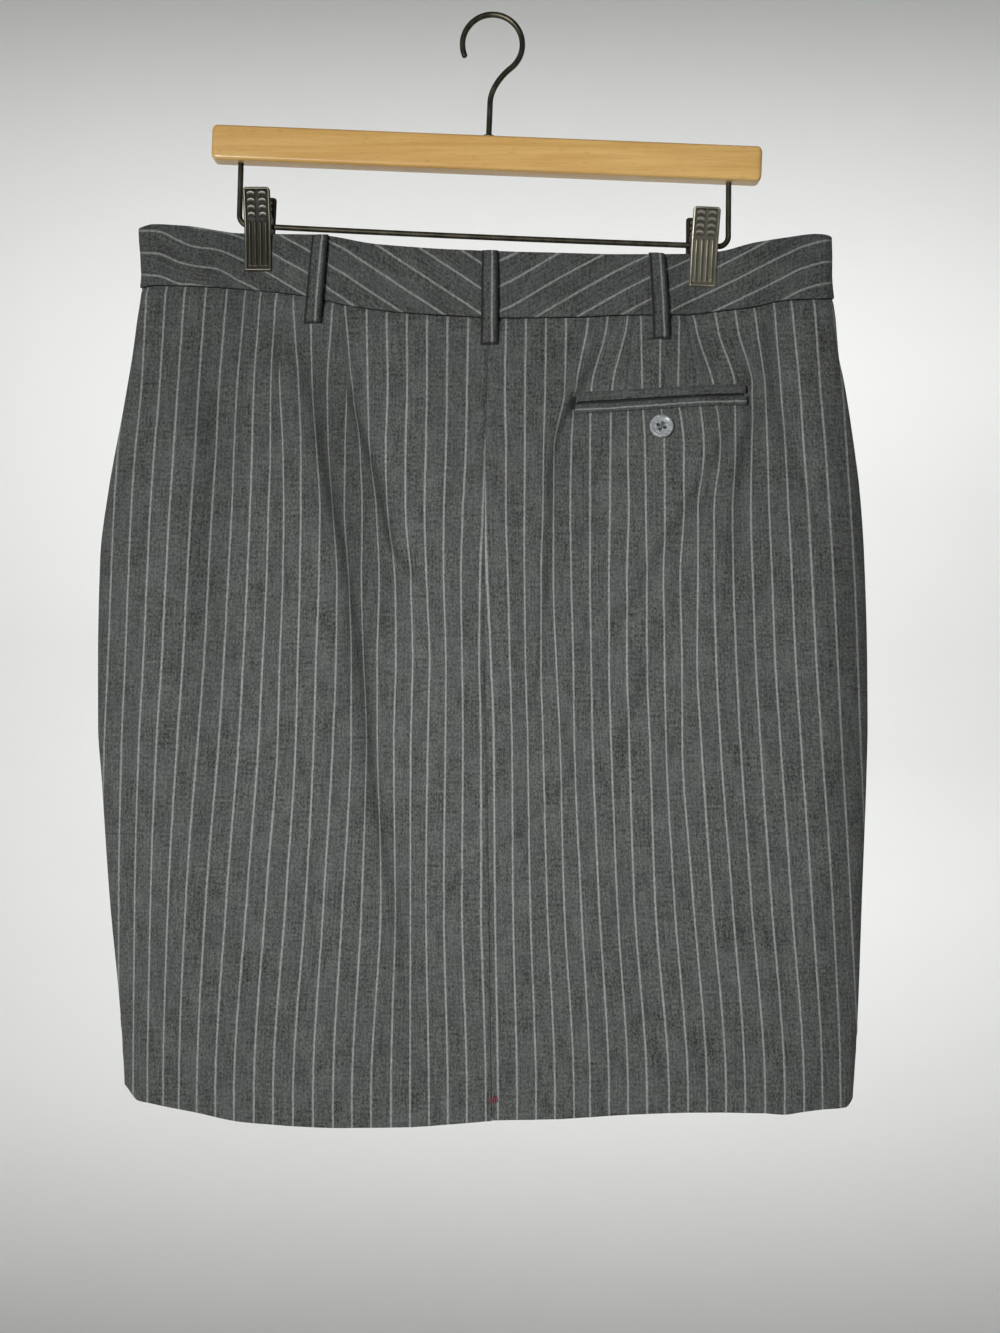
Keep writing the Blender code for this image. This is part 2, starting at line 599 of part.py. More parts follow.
def welt(name, z_near, z_far):
    n_cols = 18
    points, normals = [], []
    for i in range(3):
        prow, nrow = [], []
        for j in range(n_cols + 1):
            x = POCKET_X[0] + (POCKET_X[1] - POCKET_X[0]) * j / n_cols
            z = slit(x) + z_near + (z_far - z_near) * i / 2
            p, n = from_panel("back_right", *place_on_panel("back_right", x, z), PANEL_T / 2 + CLEAR + WELT_T / 2)
            prow.append(p)
            nrow.append(n)
        points.append(prow)
        normals.append(nrow)
    return wall(name, points, normals, WELT_T, WOOL)


welt("welt_upper", POCKET_SLIT / 2 + WELT_H[0], POCKET_SLIT / 2)
welt("welt_lower", -POCKET_SLIT / 2, -POCKET_SLIT / 2 - WELT_H[1])

mid = (POCKET_X[0] + POCKET_X[1]) / 2
slope = math.atan2(slit(POCKET_X[1]) - slit(POCKET_X[0]), POCKET_X[1] - POCKET_X[0])
deep = float(surface(-1, mid, slit(mid))[1])
v, f = box_mesh((POCKET_X[1] - POCKET_X[0] - 4.0, 24.0, POCKET_SLIT),
                Matrix.Translation((mid, deep + 4.0, slit(mid))) @ Matrix.Rotation(-slope, 4, "Y"))
cutter = add_object("slit_cutter", v, f, None)
cut(bpy.data.objects["back_right"], cutter)


# ---------------------------------------------------------------- buttons
def button(name, face, x, z, base_out, turn):
    """A four-hole button with a rolled rim, its back on the cloth."""
    r = BUTTON_D / 2
    profile = [(r - 1.0, 0.0), (r - 0.2, 0.7), (r, 1.5), (r - 0.4, 2.4), (r - 1.3, BUTTON_T),
               (r - 2.3, BUTTON_T - 0.6), (1.0, BUTTON_T - 0.8)]
    v, f = turned(profile, 28)
    n = Vector(surface_normal(face, x, z))
    at = Vector(surface(face, x, z)) + n * base_out
    spin = n.to_track_quat("Z", "Y").to_matrix().to_4x4()
    place = Matrix.Translation(at) @ spin @ Matrix.Rotation(turn, 4, "Z")
    obj = add_object(name, [place @ Vector(c) for c in v], f, BUTTON)
    hv, hf = [], []
    for k in range(4):
        a = math.pi / 4 + k * math.pi / 2
        cv, cf = turned([(0.95, -1.0), (0.95, BUTTON_T + 1.0)], 10)
        off = place @ Matrix.Translation((1.7 * math.cos(a), 1.7 * math.sin(a), 0))
        hf += [tuple(i + len(hv) for i in face_) for face_ in cf]
        hv += [off @ Vector(c) for c in cv]
    cut(obj, add_object(name + "_holes", hv, hf, None))


button("pocket_button", -1, 103.4, -264.6, PANEL_T / 2 + CLEAR, math.radians(20))
band_mid = (float(band_top(1, -24.0)) + float(waist(1, -24.0))) / 2
button("band_button", 1, -24.0, band_mid, lap_out(-24.0) + BAND_T / 2 + CLEAR, math.radians(8))

# ---------------------------------------------------------------- hanger
TILT = Matrix.Rotation(HANGER_TILT, 4, "Y")


def tilted(points):
    return [tuple(TILT @ Vector(p)) for p in points]


size = (BAR["right"] - BAR["left"], BAR["thick"], BAR["high"] - BAR["low"])
centre = ((BAR["right"] + BAR["left"]) / 2, 0.0, (BAR["high"] + BAR["low"]) / 2)
v, f = box_mesh(size, TILT @ Matrix.Translation(centre))
bar = add_object("hanger_bar", v, f, WOOD)
bevel = bar.modifiers.new("rounded", "BEVEL")
bevel.width = 2.6 * MM
bevel.segments = 3

zc = HOOK_D / 2 - HOOK_R
start, end = math.radians(-50), math.radians(204)
hook = [(0.0, 0.0, BAR["high"] + SEAM_GAP + (SHANK_TOP - BAR["high"] - SEAM_GAP) * i / 5) for i in range(5)]
a0 = np.array([0.0, SHANK_TOP])
a1 = np.array([HOOK_R * math.cos(start), zc + HOOK_R * math.sin(start)])
t0, t1 = np.array([0.0, 1.0]) * 26.0, np.array([-math.sin(start), math.cos(start)]) * 22.0
for i in range(8):
    t = i / 8
    p = ((2 * t**3 - 3 * t**2 + 1) * a0 + (t**3 - 2 * t**2 + t) * t0
         + (-2 * t**3 + 3 * t**2) * a1 + (t**3 - t**2) * t1)
    hook.append((p[0], 0.0, p[1]))
for i in range(29):
    a = start + (end - start) * i / 28
    hook.append((HOOK_R * math.cos(a), 0.0, zc + HOOK_R * math.sin(a)))
tube_curve("hanger_hook", tilted(hook), HOOK_D, BRONZE, 2)

rod_top = BAR["low"] - SEAM_GAP
rod = [(ROD_LEFT, 0.0, rod_top), (ROD_LEFT, 0.0, (rod_top + ROD_Z) / 2)]
for i in range(9):
    a = math.pi + math.pi / 2 * i / 8
    rod.append((ROD_LEFT + ROD_BEND + ROD_BEND * math.cos(a), 0.0, ROD_Z + ROD_BEND + ROD_BEND * math.sin(a)))
rod += [(ROD_LEFT + (ROD_RIGHT - ROD_LEFT) * k / 6, 0.0, ROD_Z) for k in range(1, 6)]
for i in range(9):
    a = -math.pi / 2 + math.pi / 2 * i / 8
    rod.append((ROD_RIGHT - ROD_BEND + ROD_BEND * math.cos(a), 0.0, ROD_Z + ROD_BEND + ROD_BEND * math.sin(a)))
rod += [(ROD_RIGHT, 0.0, (rod_top + ROD_Z) / 2), (ROD_RIGHT, 0.0, rod_top)]
tube_curve("hanger_rod", tilted(rod), ROD_D, BRONZE, 2)

# ---------------------------------------------------------------- clips
# a jaw's outer face in side view: distance from the rod's plane, height from the rod
JAW = [(11.5, 20.2), (8.9, 10.0), (6.4, 0.0), (5.2, -9.0), (4.6, -20.0), (4.4, -28.6)]


def jaw_profile(sign):
    t = CLIP["plate"]
    outer = [(sign * y, z) for y, z in JAW]
    inner = [(sign * (y - t), z) for y, z in reversed(JAW)]
    return outer + inner


def ear_profile(sign, radius=4.3):
    """Ear from the plate round the rod."""
    plate_y = 5.6
    pts = [(sign * plate_y, -4.6), (sign * plate_y, 5.0)]
    for k in range(9):
        a = math.radians(70 + 220 * k / 8)
        pts.append((sign * radius * math.cos(a), radius * math.sin(a)))
    return pts


def clip(tag, info, mat):
    place = (Matrix.Translation((info["x"], 0.0, rod_height(info["x"])))
             @ Matrix.Rotation(info["lean"], 4, "Y"))
    w = CLIP["width"] / 2
    for word, sign, ear_out in (("front", -1, w), ("back", 1, w - CLIP["plate"] - SEAM_GAP)):
        v, f = prism(jaw_profile(sign), -w, w)
        jaw = add_object(f"clip_{tag}_{word}", [place @ Vector(c) for c in v], f, mat)
        for k, side in enumerate((-1, 1)):
            x0, x1 = sorted((side * ear_out, side * (ear_out - CLIP["plate"])))
            ev, ef = prism(ear_profile(sign), x0, x1)
            ear = add_object(f"clip_{tag}_{word}_ear_{k}", [place @ Vector(c) for c in ev], ef, None)
            ear.hide_render = True
            ear.display_type = "WIRE"
            mod = jaw.modifiers.new(f"ear_{k}", "BOOLEAN")
            mod.operation = "UNION"
            mod.solver = "EXACT"
            mod.object = ear
        bore = place @ Matrix.Rotation(math.pi / 2, 4, "Y")
        cv, cf = turned([(2.1, -w - 2), (2.1, w + 2)], 16)
        # the bore follows the rod, which leans with the hanger
        bore = Matrix.Translation(place.translation) @ TILT @ Matrix.Rotation(math.pi / 2, 4, "Y")
        cut(jaw, add_object(f"clip_{tag}_{word}_bore", [bore @ Vector(c) for c in cv], cf, None))
    half = w - 2 * CLIP["plate"] - 2 * SEAM_GAP - 0.4
    ring = Matrix.Translation(place.translation) @ TILT @ Matrix.Rotation(math.pi / 2, 4, "Y")
    sv, sf = turned([(3.9, -half), (3.9, half), (2.1, half), (2.1, -half)], 16, hole=2.1)
    add_object(f"clip_{tag}_spring", [ring @ Vector(c) for c in sv], sf, BRONZE)


clip("left", CLIP_LEFT, BRONZE)
clip("right", CLIP_RIGHT, BRONZE_LIGHT)
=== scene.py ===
"""Looks of the pencil skirt on its clip hanger: cloth shells with their folds, stripes and seams,
pocket, buttons, belt loops, hanger metal and wood, and the studio around them.

Lengths are millimetres in the CAD's frame (+Z up, -Y the side the camera sees, origin at the
inside top of the hook).  The back of the skirt is laid out on the plane Y = 0 as it looks from
EYE, and each point is then moved towards EYE by the cloth's depth there, so that the outline
stays put whatever the folds do.
"""
import bpy
import bmesh
import math
import numpy as np
from mathutils import Matrix, Vector


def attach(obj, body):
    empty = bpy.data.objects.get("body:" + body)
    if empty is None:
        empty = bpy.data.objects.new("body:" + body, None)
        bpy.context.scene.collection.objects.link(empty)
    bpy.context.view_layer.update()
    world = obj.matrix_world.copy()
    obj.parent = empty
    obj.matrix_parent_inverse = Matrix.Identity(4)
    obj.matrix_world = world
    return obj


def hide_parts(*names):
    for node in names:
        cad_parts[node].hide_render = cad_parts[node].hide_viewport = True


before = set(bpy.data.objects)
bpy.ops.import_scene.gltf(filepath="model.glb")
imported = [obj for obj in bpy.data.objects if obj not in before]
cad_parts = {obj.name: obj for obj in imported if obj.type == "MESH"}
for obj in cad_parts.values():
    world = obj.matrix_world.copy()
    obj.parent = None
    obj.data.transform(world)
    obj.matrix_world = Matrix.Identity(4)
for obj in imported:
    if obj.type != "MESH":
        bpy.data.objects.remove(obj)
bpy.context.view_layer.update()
MM = 0.001
EYE = np.array([4.1, -800.0, -412.1])

# =============================================================== camera
cam_data = bpy.data.cameras.new("camera")
cam_data.sensor_fit = "AUTO"
cam_data.sensor_width = 36.0
cam_data.lens = 36.0 * 800.0 / 846.5
cam_data.clip_end = 50.0
camera = bpy.data.objects.new("camera", cam_data)
camera.location = EYE * MM
camera.rotation_euler = (math.radians(90), 0, 0)
bpy.context.scene.collection.objects.link(camera)
bpy.context.scene.camera = camera


# =============================================================== numbers to curves
def smooth(t):
    t = np.clip(t, 0.0, 1.0)
    return t * t * (3.0 - 2.0 * t)


def slopes(k, v):
    """Monotone cubic slopes along the last axis."""
    h = np.diff(k, axis=-1)
    d = np.diff(v, axis=-1) / h
    m = np.zeros_like(v)
    m[..., 0], m[..., -1] = d[..., 0], d[..., -1]
    a, b = h[..., :-1], h[..., 1:]
    d0, d1 = d[..., :-1], d[..., 1:]
    same = d0 * d1 > 0
    safe0, safe1 = np.where(same, d0, 1.0), np.where(same, d1, 1.0)
    m[..., 1:-1] = np.where(same, 3 * (a + b) / ((2 * b + a) / safe0 + (b + 2 * a) / safe1), 0.0)
    return m


def curve(rows, column=1, flat_ends=False):
    """A function of the rows' first column, smooth through the given column."""
    rows = sorted(r for r in rows if r[column] is not None)
    k = np.array([r[0] for r in rows], float)
    v = np.array([r[column] for r in rows], float)
    m = slopes(k, v)
    if flat_ends:
        m[0] = m[-1] = 0.0

    def f(at):
        at = np.asarray(at, float)
        x = np.clip(at, k[0], k[-1])
        i = np.clip(np.searchsorted(k, x, side="right") - 1, 0, len(k) - 2)
        h = k[i + 1] - k[i]
        t = (x - k[i]) / h
        y = ((2 * t**3 - 3 * t**2 + 1) * v[i] + (t**3 - 2 * t**2 + t) * h * m[i]
             + (-2 * t**3 + 3 * t**2) * v[i + 1] + (t**3 - t**2) * h * m[i + 1])
        return y
    return f


def value_noise(x, y, seed):
    """Smooth seeded noise in -1..1 with a period of one unit between lattice points."""
    rng = np.random.RandomState(seed)
    table = rng.uniform(-1, 1, (256, 256))
    xi, yi = np.floor(x).astype(int), np.floor(y).astype(int)
    fx, fy = x - xi, y - yi
    fx, fy = fx**3 * (fx * (6 * fx - 15) + 10), fy**3 * (fy * (6 * fy - 15) + 10)
    g = lambda a, b: table[a & 255, b & 255]
    return ((g(xi, yi) * (1 - fx) + g(xi + 1, yi) * fx) * (1 - fy)
            + (g(xi, yi + 1) * (1 - fx) + g(xi + 1, yi + 1) * fx) * fy)


# =============================================================== sizes
PITCH = 12.9            # chalk stripe repeat
PANEL_T, BAND_T, LOOP_T, WELT_T = 1.3, 2.2, 1.5, 1.4
SEAM_GAP = 0.3
FOLD_R = 5.0            # radius of the side folds
PINCH_DEPTH = 1.5
HANGER_TILT = math.radians(2.3)
ROD_Z = -138.4
CLIPS = (dict(tag="left", x=-148.7, lean=0.0), dict(tag="right", x=133.2, lean=math.radians(2.5)))
JAW_BELOW = 28.6

OUTLINE = [             # height, left fold, right fold
    (-133.0, -224.3, 213.2), (-141.0, -223.9, 214.0), (-152.0, -222.8, 213.9), (-164.0, -222.5, 213.6),
    (-173.0, -223.0, 214.0), (-192.0, -225.6, 216.7), (-215.0, -228.7, 218.6), (-230.0, -231.2, 221.7),
    (-253.0, -235.2, 225.5), (-276.0, -239.6, 228.8), (-298.0, -243.5, 231.6),
    (-344.0, -249.2, 234.8), (-413.0, -250.6, 236.7), (-451.0, -250.5, 236.9),
    (-481.0, -248.4, 236.2), (-557.0, -243.3, 233.4), (-634.0, -236.2, 230.6),
    (-715.0, -231.6, 225.5),
]
BAND_TOP = [(-225, -133.9), (-214, -133.3), (-193, -134.8), (-159, -138.0), (-112, -140.5),
            (-73, -146.8), (-19, -150.6), (29, -152.1), (80, -153.1), (122, -151.0),
            (143, -149.3), (164, -145.2), (184, -142.0), (204, -139.4), (211, -139.6), (216, -140.4)]
WAIST = [(-225, -171.6), (-212, -172.0), (-193, -172.6), (-151, -173.9), (-121, -178.3), (-87, -185.9),
         (-58, -189.9), (-31, -191.8), (5, -193.4), (53, -193.0), (80, -191.5),
         (122, -189.6), (145, -187.1), (163, -185.9), (185, -181.2), (216, -178.6)]
HEM = [                 # as it looks from EYE
    (-240.0, -672.0), (-234.0, -676.9), (-225.5, -687.1), (-218.0, -688.8), (-210.5, -690.5), (-186.4, -695.3),
    (-162.9, -700.4), (-140.7, -702.5), (-125.4, -703.6), (-100.0, -704.6), (-59.1, -704.3), (-28.6, -702.4),
    (3.0, -699.9), (39.6, -699.0), (76.3, -696.7), (110.9, -695.2), (131.1, -694.8), (171.7, -695.3), (184.0, -696.2),
    (196.4, -694.5), (208.7, -692.9), (223.7, -691.4), (228.6, -683.2), (232.0, -674.0)]
FRONT_HEM = [(-235, -673.0), (-215, -684.0), (-150, -690.0), (0, -692.0), (150, -689.0),
             (210, -684.0), (228, -677.0)]
FRONT_DROP = 5.0

# ridges and valleys down the back, as they look from EYE: height, place, how far they stand out
BACK_LINES = {
    "left_crest": [(-133, -196, 7.0), (-193, -197, 7.5), (-236, -199, 19), (-274, -199, 29), (-312, -200, 34),
                   (-357, -200, 36), (-408, -200, 35.5), (-458, -200, 33), (-509, -199, 28.5), (-560, -199, 24),
                   (-611, -197, 19.5), (-662, -196, 16), (-700, -193, 14)],
    "outer_valley": [(-133, -167, 6.8), (-193, -167, 5.5), (-236, -167, 12), (-274, -168, 19.5), (-312, -171, 25),
                     (-357, -172, 29), (-408, -172, 30), (-458, -171, 30), (-509, -169, 27), (-560, -168, 23.3),
                     (-611, -167, 19.2), (-662, -167, 16), (-700, -166, 14)],
    "left_ridge": [(-133, -140, 7.0), (-193, -140, 6.5), (-236, -131, 17), (-274, -126, 28), (-312, -121, 33),
                   (-357, -112, 35), (-408, -107, 34.5), (-458, -102, 33), (-509, -95, 29.5), (-560, -83, 25),
                   (-611, -73, 20.7), (-662, -66, 17), (-700, -62, 14.4)],
    "main_valley": [(-133, -108, 8.0), (-193, -107, 6.5), (-236, -86, 9.5), (-274, -76, 12.0), (-312, -67, 16.5),
                    (-357, -54, 22), (-408, -72, 24), (-458, -70, 26), (-509, -60, 25.3), (-560, -49, 22.2),
                    (-611, -42, 18.8), (-662, -37, 15.6), (-700, -34, 13.8)],
    "centre_left": [(-133, -48, 8.6), (-193, -44, 9.5), (-236, -37, 17), (-274, -34, 23), (-312, -31, 27),
                    (-357, -27, 30), (-408, -25, 31), (-458, -24, 30.3), (-509, -22, 27.8), (-560, -20, 24.2),
                    (-611, -15, 20.2), (-662, -10, 16.8), (-700, -8, 14.5)],
    "centre_right": [(-133, 16, 8.8), (-193, 16, 9.6), (-236, 22, 17), (-274, 23, 23), (-312, 21, 27),
                     (-357, 17, 30), (-408, 12, 31), (-458, 8, 30.3), (-509, 6, 28), (-560, 8, 24.6),
                     (-611, 12, 20.4), (-662, 14, 17), (-700, 16, 14.6)],
    "pocket_flat": [(-133, 68, 8.4), (-193, 68, 9.0), (-236, 68, 14), (-274, 67, 18), (-312, 66, 22),
                    (-357, 66, 26), (-408, 66, 28.5), (-458, 66, 29), (-509, 66, 27.5), (-560, 66, 24.4),
                    (-611, 68, 20.5), (-662, 68, 17), (-700, 68, 14.8)],
    "pocket_end": [(-133, 132, 7.5), (-193, 132, 7.5), (-236, 132, 16.5), (-274, 132, 24), (-312, 132, 28),
                   (-357, 132, 30), (-408, 132, 30), (-458, 132, 28.8), (-509, 132, 26.3), (-560, 132, 23),
                   (-611, 132, 19.6), (-662, 132, 16.6), (-700, 132, 14.4)],
    "right_valley": [(-133, 175, 6.6), (-193, 175, 5.6), (-236, 176, 9), (-274, 185, 14), (-312, 197, 19),
                     (-357, 203, 23), (-408, 205, 24.5), (-458, 205, 24), (-509, 204, 22), (-560, 203, 19.2),
                     (-611, 202, 16.6), (-662, 200, 14.3), (-700, 199, 12.8)],
    "right_crest": [(-133, 197, 6.5), (-193, 198, 7.2), (-236, 203, 14), (-274, 211, 19), (-312, 217, 22),
                    (-357, 221, 23.5), (-408, 223, 24), (-458, 223, 23.4), (-509, 222, 21.4), (-560, 221, 18.6),
                    (-611, 219, 16.2), (-662, 216, 14), (-700, 214, 12.5)],
}
# sharper creases, stepping down to their right: blend width, reach to left, reach to right,
# then place, height, step
BACK_CREASES = {
    "main_fold": (4.0, 12, 26, [(-124, -204, 0.0), (-120.4, -225, 3.2), (-114, -252, 5.2), (-109.6, -277, 6.0),
                                (-104.5, -304, 6.0), (-97.5, -336, 5.4), (-91.2, -368, 4.8), (-86.5, -399, 4.6),
                                (-82.3, -431, 4.6), (-79, -471, 4.5), (-72.5, -520, 4.0), (-62.5, -579, 3.0),
                                (-54, -653, 1.4), (-50, -690, 0.0)]),
    "main_branch": (3.8, 8, 15, [(-95, -222, 0.0), (-92.4, -232, 5.0), (-88.6, -251, 8.0), (-77.8, -285, 8.0),
                                 (-70.2, -314, 8.0), (-64.5, -336, 7.4), (-55, -350, 6.0), (-44, -363, 4.0),
                                 (-34, -378, 1.6), (-28, -390, 0.0)]),
    "pocket_near": (2.3, 13, 11, [(74, -198, 0.0), (65, -214, 4.4), (56, -232, 6.2), (49, -246, 6.6), (41, -262, 6.0),
                                  (36.5, -281, 5.0), (35.2, -306, 4.4), (34.5, -331, 3.6), (31.5, -365, 2.8),
                                  (28, -408, 2.0), (22.5, -450, 1.2), (17.5, -509, 0.4), (15, -530, 0.0)]),
    "pocket_far": (3.8, 9, 13, [(150, -200, 0.0), (158, -218, 3.6), (162, -238, 5.8), (161, -256, 7.2), (157, -274, 7.4),
                                (154, -293, 6.2), (152, -327, 3.6), (146, -370, 2.0), (141, -408, 0.0)]),
    "right_fold": (5.5, 15, 16, [(171, -172, 1.2), (173, -200, 4.4), (176, -243, 6.4), (185, -268, 6.8),
                                 (194, -289, 6.0), (202, -323, 3.8), (208, -352, 1.4), (210, -380, 0.0)]),
    "outer_fold": (6.0, 16, 15, [(-158, -172, 1.4), (-159, -200, 4.4), (-162, -250, 5.0), (-166, -290, 4.4),
                                 (-169, -335, 2.4), (-171, -420, 1.5), (-171, -480, 0.0)]),
    "left_step": (5.0, 10, 12, [(-138, -238, 0.0), (-138, -256, 2.2), (-138, -331, 2.6), (-139, -382, 1.8),
                                (-142, -433, 0.0)]),
    "diagonal_one": (4.6, 8, 15, [(150, -248, 0.0), (146, -262, 3.8), (126, -300, 5.8), (101, -342, 5.9),
                                  (78, -387, 4.2), (64, -420, 0.0)]),
    "diagonal_two": (4.4, 8, 14, [(128, -346, 0.0), (118, -364, 3.2), (97, -410, 5.0), (82, -456, 4.8),
                                  (78, -492, 3.0), (75, -534, 0.0)]),
    "vent_wrinkle_low": (3.2, 7, 11, [(10, -517, 0.0), (-4, -529, 3.8), (-20, -543, 4.8), (-32, -560, 3.3),
                                      (-40, -574, 0.0)]),
    "vent_wrinkle_high": (3.2, 7, 11, [(58, -466, 0.0), (45, -484, 3.1), (30, -502, 4.8), (17, -516, 4.8),
                                       (2, -530, 0.0)]),
    "low_right": (7.0, 14, 20, [(84, -545, 0.0), (76, -568, 3.0), (66, -590, 3.0), (60, -620, 0.0)]),
    "low_left": (6.0, 12, 16, [(-38, -610, 0.0), (-46, -632, 1.8), (-60, -640, 1.8), (-76, -642, 0.0)]),
}

# where the stripes run on the back, as they look from EYE: a row for a stripe counted from the
# centre seam, a column for a height
GRAIN_HEIGHTS = (-198, -236, -274, -312, -357, -408, -458, -560, -687)
GRAIN_LEFT = {
    0: (None, None, None, -6.9, -8.6, -9.2, -8.0, -8.0, -4.8),
    1: (-16.2, -16.9, -17.5, -19.4, -20.7, -20.0, -19.4, -20.0, -16.9),
    3: (-42.3, -42.3, -42.9, -43.5, -42.3, -40.4, -41.6, -42.9, -41.0),
    5: (-67.7, -67.0, -68.3, -67.7, -62.6, -61.9, -63.2, -62.6, -65.1),
    6: (-80.4, -79.7, -79.1, -74.6, -72.7, -74.0, -74.0, -71.5, -77.8),
    7: (-93.1, -89.9, -84.8, -83.5, -84.2, -82.9, -81.0, -83.5, -89.9),
    8: (None, -93.7, -94.3, -95.0, -92.4, -90.5, -90.5, -95.6, -101.9),
    9: (-103.2, -105.8, -105.1, -102.6, -99.4, -100.0, -101.9, -107.7, -114.6),
    10: (-115.9, -115.3, -112.7, -110.2, -110.8, -112.7, -114.0, -119.1, -127.3),
    11: (-126.1, -123.5, -122.3, -122.3, -122.9, -124.2, -125.4, -131.8, -140.0),
    12: (None, -136.2, -133.7, -133.1, -133.7, -135.6, -136.9, -144.5, -152.1),
    13: (-139.4, -141.3, -141.3, -142.6, -143.9, -146.4, -148.9, -156.6, -164.8),
    15: (-159.7, -162.9, -164.8, -166.1, -168.6, -171.2, -174.3, -182.6, -188.3),
    16: (-171.2, -174.3, -176.2, -178.8, -181.3, -183.9, -187.7, -195.3, -199.7),
    18: (-197.8, -200.4, -202.9, -205.5, -208.0, -210.5, -213.7, -217.5, -219.5),
    20: (-221.3, -223.2, -227.0, -229.6, -231.5, -233.4, -235.6, -237.5, -237.5),
}
GRAIN_RIGHT = {
    0: (None, None, None, None, -3.9, -1.6, 0.3, 0.9, 2.8),
    1: (7.9, 7.3, 7.9, 7.9, 9.2, 10.4, 11.7, 12.4, 14.9),
    3: (33.3, 32.7, 32.0, 31.4, 30.1, 30.1, 31.4, 33.9, 39.0),
    4: (46.0, 45.4, 37.8, 37.8, 37.8, 39.7, 42.2, 44.7, 51.1),
    5: (59.3, 52.0, 49.2, 48.6, 49.2, 50.5, 51.1, 55.5, 61.2),
    6: (71.4, 62.2, 61.2, 61.2, 61.2, 61.9, 62.8, 66.9, 73.3),
    7: (84.1, 75.4, 74.2, 73.9, 73.3, 73.3, 74.6, 78.4, 85.4),
    8: (None, None, 85.4, 86.0, 84.7, 84.7, 86.0, 89.2, 97.4),
    9: (93.6, 94.3, 96.2, 96.8, 97.4, 97.4, 99.3, 102.5, 111.4),
    11: (117.8, 117.1, 120.9, 120.9, 118.4, 119.7, 119.7, 126.7, 135.5),
    12: (None, 129.8, 133.6, 129.8, 129.8, 129.2, 131.7, 138.7, 147.6),
    13: (128.6, 140.0, 143.8, 140.0, 140.0, 141.3, 143.8, 151.4, 159.7),
    14: (142.5, 153.3, 153.3, 151.4, 152.1, 154.0, 156.5, 163.5, 172.4),
    15: (155.2, 164.4, 163.8, 163.2, 164.5, 166.3, 169.2, 176.2, 184.8),
    16: (167.3, 172.2, 173.8, 174.9, 176.8, 178.7, 181.9, 188.9, 197.1),
    17: (179.4, 182.4, 185.1, 187.2, 189.4, 191.7, 194.9, 201.9, 208.6),
    18: (190.8, 194.6, 197.1, 199.7, 202.2, 204.8, 207.9, 214.9, 220.0),
    19: (204.8, 207.3, 210.5, 213.0, 215.6, 218.1, 220.6, 226.3, 231.0),
    20: (216.6, 221.3, 223.8, 226.3, 228.9, 230.8, 232.5, 237.0, 242.0),
}
CENTRE_BACK = [(-150, -2.4), (-209, -3.3), (-263, -4.8), (-331, -5.6), (-382, -5.7), (-522, -3.2),
               (-598, -2.6), (-712, -0.9)]
# the centre seam takes in part of a repeat: height, on the left, on the right
CENTRE_TAKE = [(-190, 0.18, 0.20), (-250, 0.10, 0.16), (-264, 0.0, 0.12), (-272, -0.05, 0.08), (-290, -0.07, 0.02),
               (-306, -0.10, -0.03), (-318, -0.12, -0.05), (-331, -0.16, -0.07), (-344, -0.19, -0.10), (-357, -0.22, -0.13),
               (-382, -0.27, -0.21), (-408, -0.30, -0.28), (-484, -0.33, -0.33), (-712, -0.33, -0.33)]
# darts: stripe it ends on, waist place, waist height, tip place, tip height,
# repeats taken in at the waist towards the centre and away from it
DARTS = {
    -1: ((8, -96.9, -183.0, -93.2, -238.0, 0.80, 0.45), (12, -129.9, -175.0, -136.2, -225.0, 0.50, 0.64)),
    1: ((8, 89.2, -190.0, 85.4, -238.0, 0.66, 0.62), (12, 122.2, -188.0, 129.8, -234.0, 0.55, 0.66)),
}
# bias stripes of the band, as they look from EYE: place, height of one stripe, spacing upright
BAND_LEFT = [(-226, -135.6, 13.6), (-213.4, -136.1, 14.2), (-200.4, -141.6, 13.7), (-190.2, -145.8, 12.1),
             (-176.9, -147.6, 12.1), (-161.0, -153.8, 14.0), (-144.5, -161.7, 14.3), (-132.4, -168.9, 14.4),
             (-119.1, -176.8, 14.8), (-103.2, -188.6, 15.2), (-94.3, -195.3, 15.9), (-59.4, -218.9, 16.1),
             (-30.8, -237.7, 16.1), (-1.0, -257.6, 16.1)]
BAND_RIGHT = [(-3.0, -253.4, 16.0), (4.1, -250.8, 16.0), (34.6, -233.9, 16.0), (61.3, -216.1, 15.2),
              (87.9, -200.0, 14.6), (110.8, -187.3, 13.7), (126.0, -179.9, 13.4), (148.9, -169.2, 13.7),
              (179.4, -153.7, 14.0), (196.8, -145.6, 13.7), (207.0, -142.7, 13.6), (218.0, -141.0, 13.4)]

LOOPS = {               # face, place at top, place at bottom, how far below the waist seam it ends
    "loop_back_left": (-1, -108.2, -113.6, 16.2),
    "loop_back_centre": (-1, -2.2, -2.6, 17.6),
    "loop_back_right": (-1, 101.9, 105.0, 16.0),
    "loop_front_left": (1, -112.0, -114.0, 14.0),
    "loop_front_right": (1, 112.0, 114.0, 14.0),
}
POCKET_X = (51.0, 156.0)
VENT_TOP = -548.0

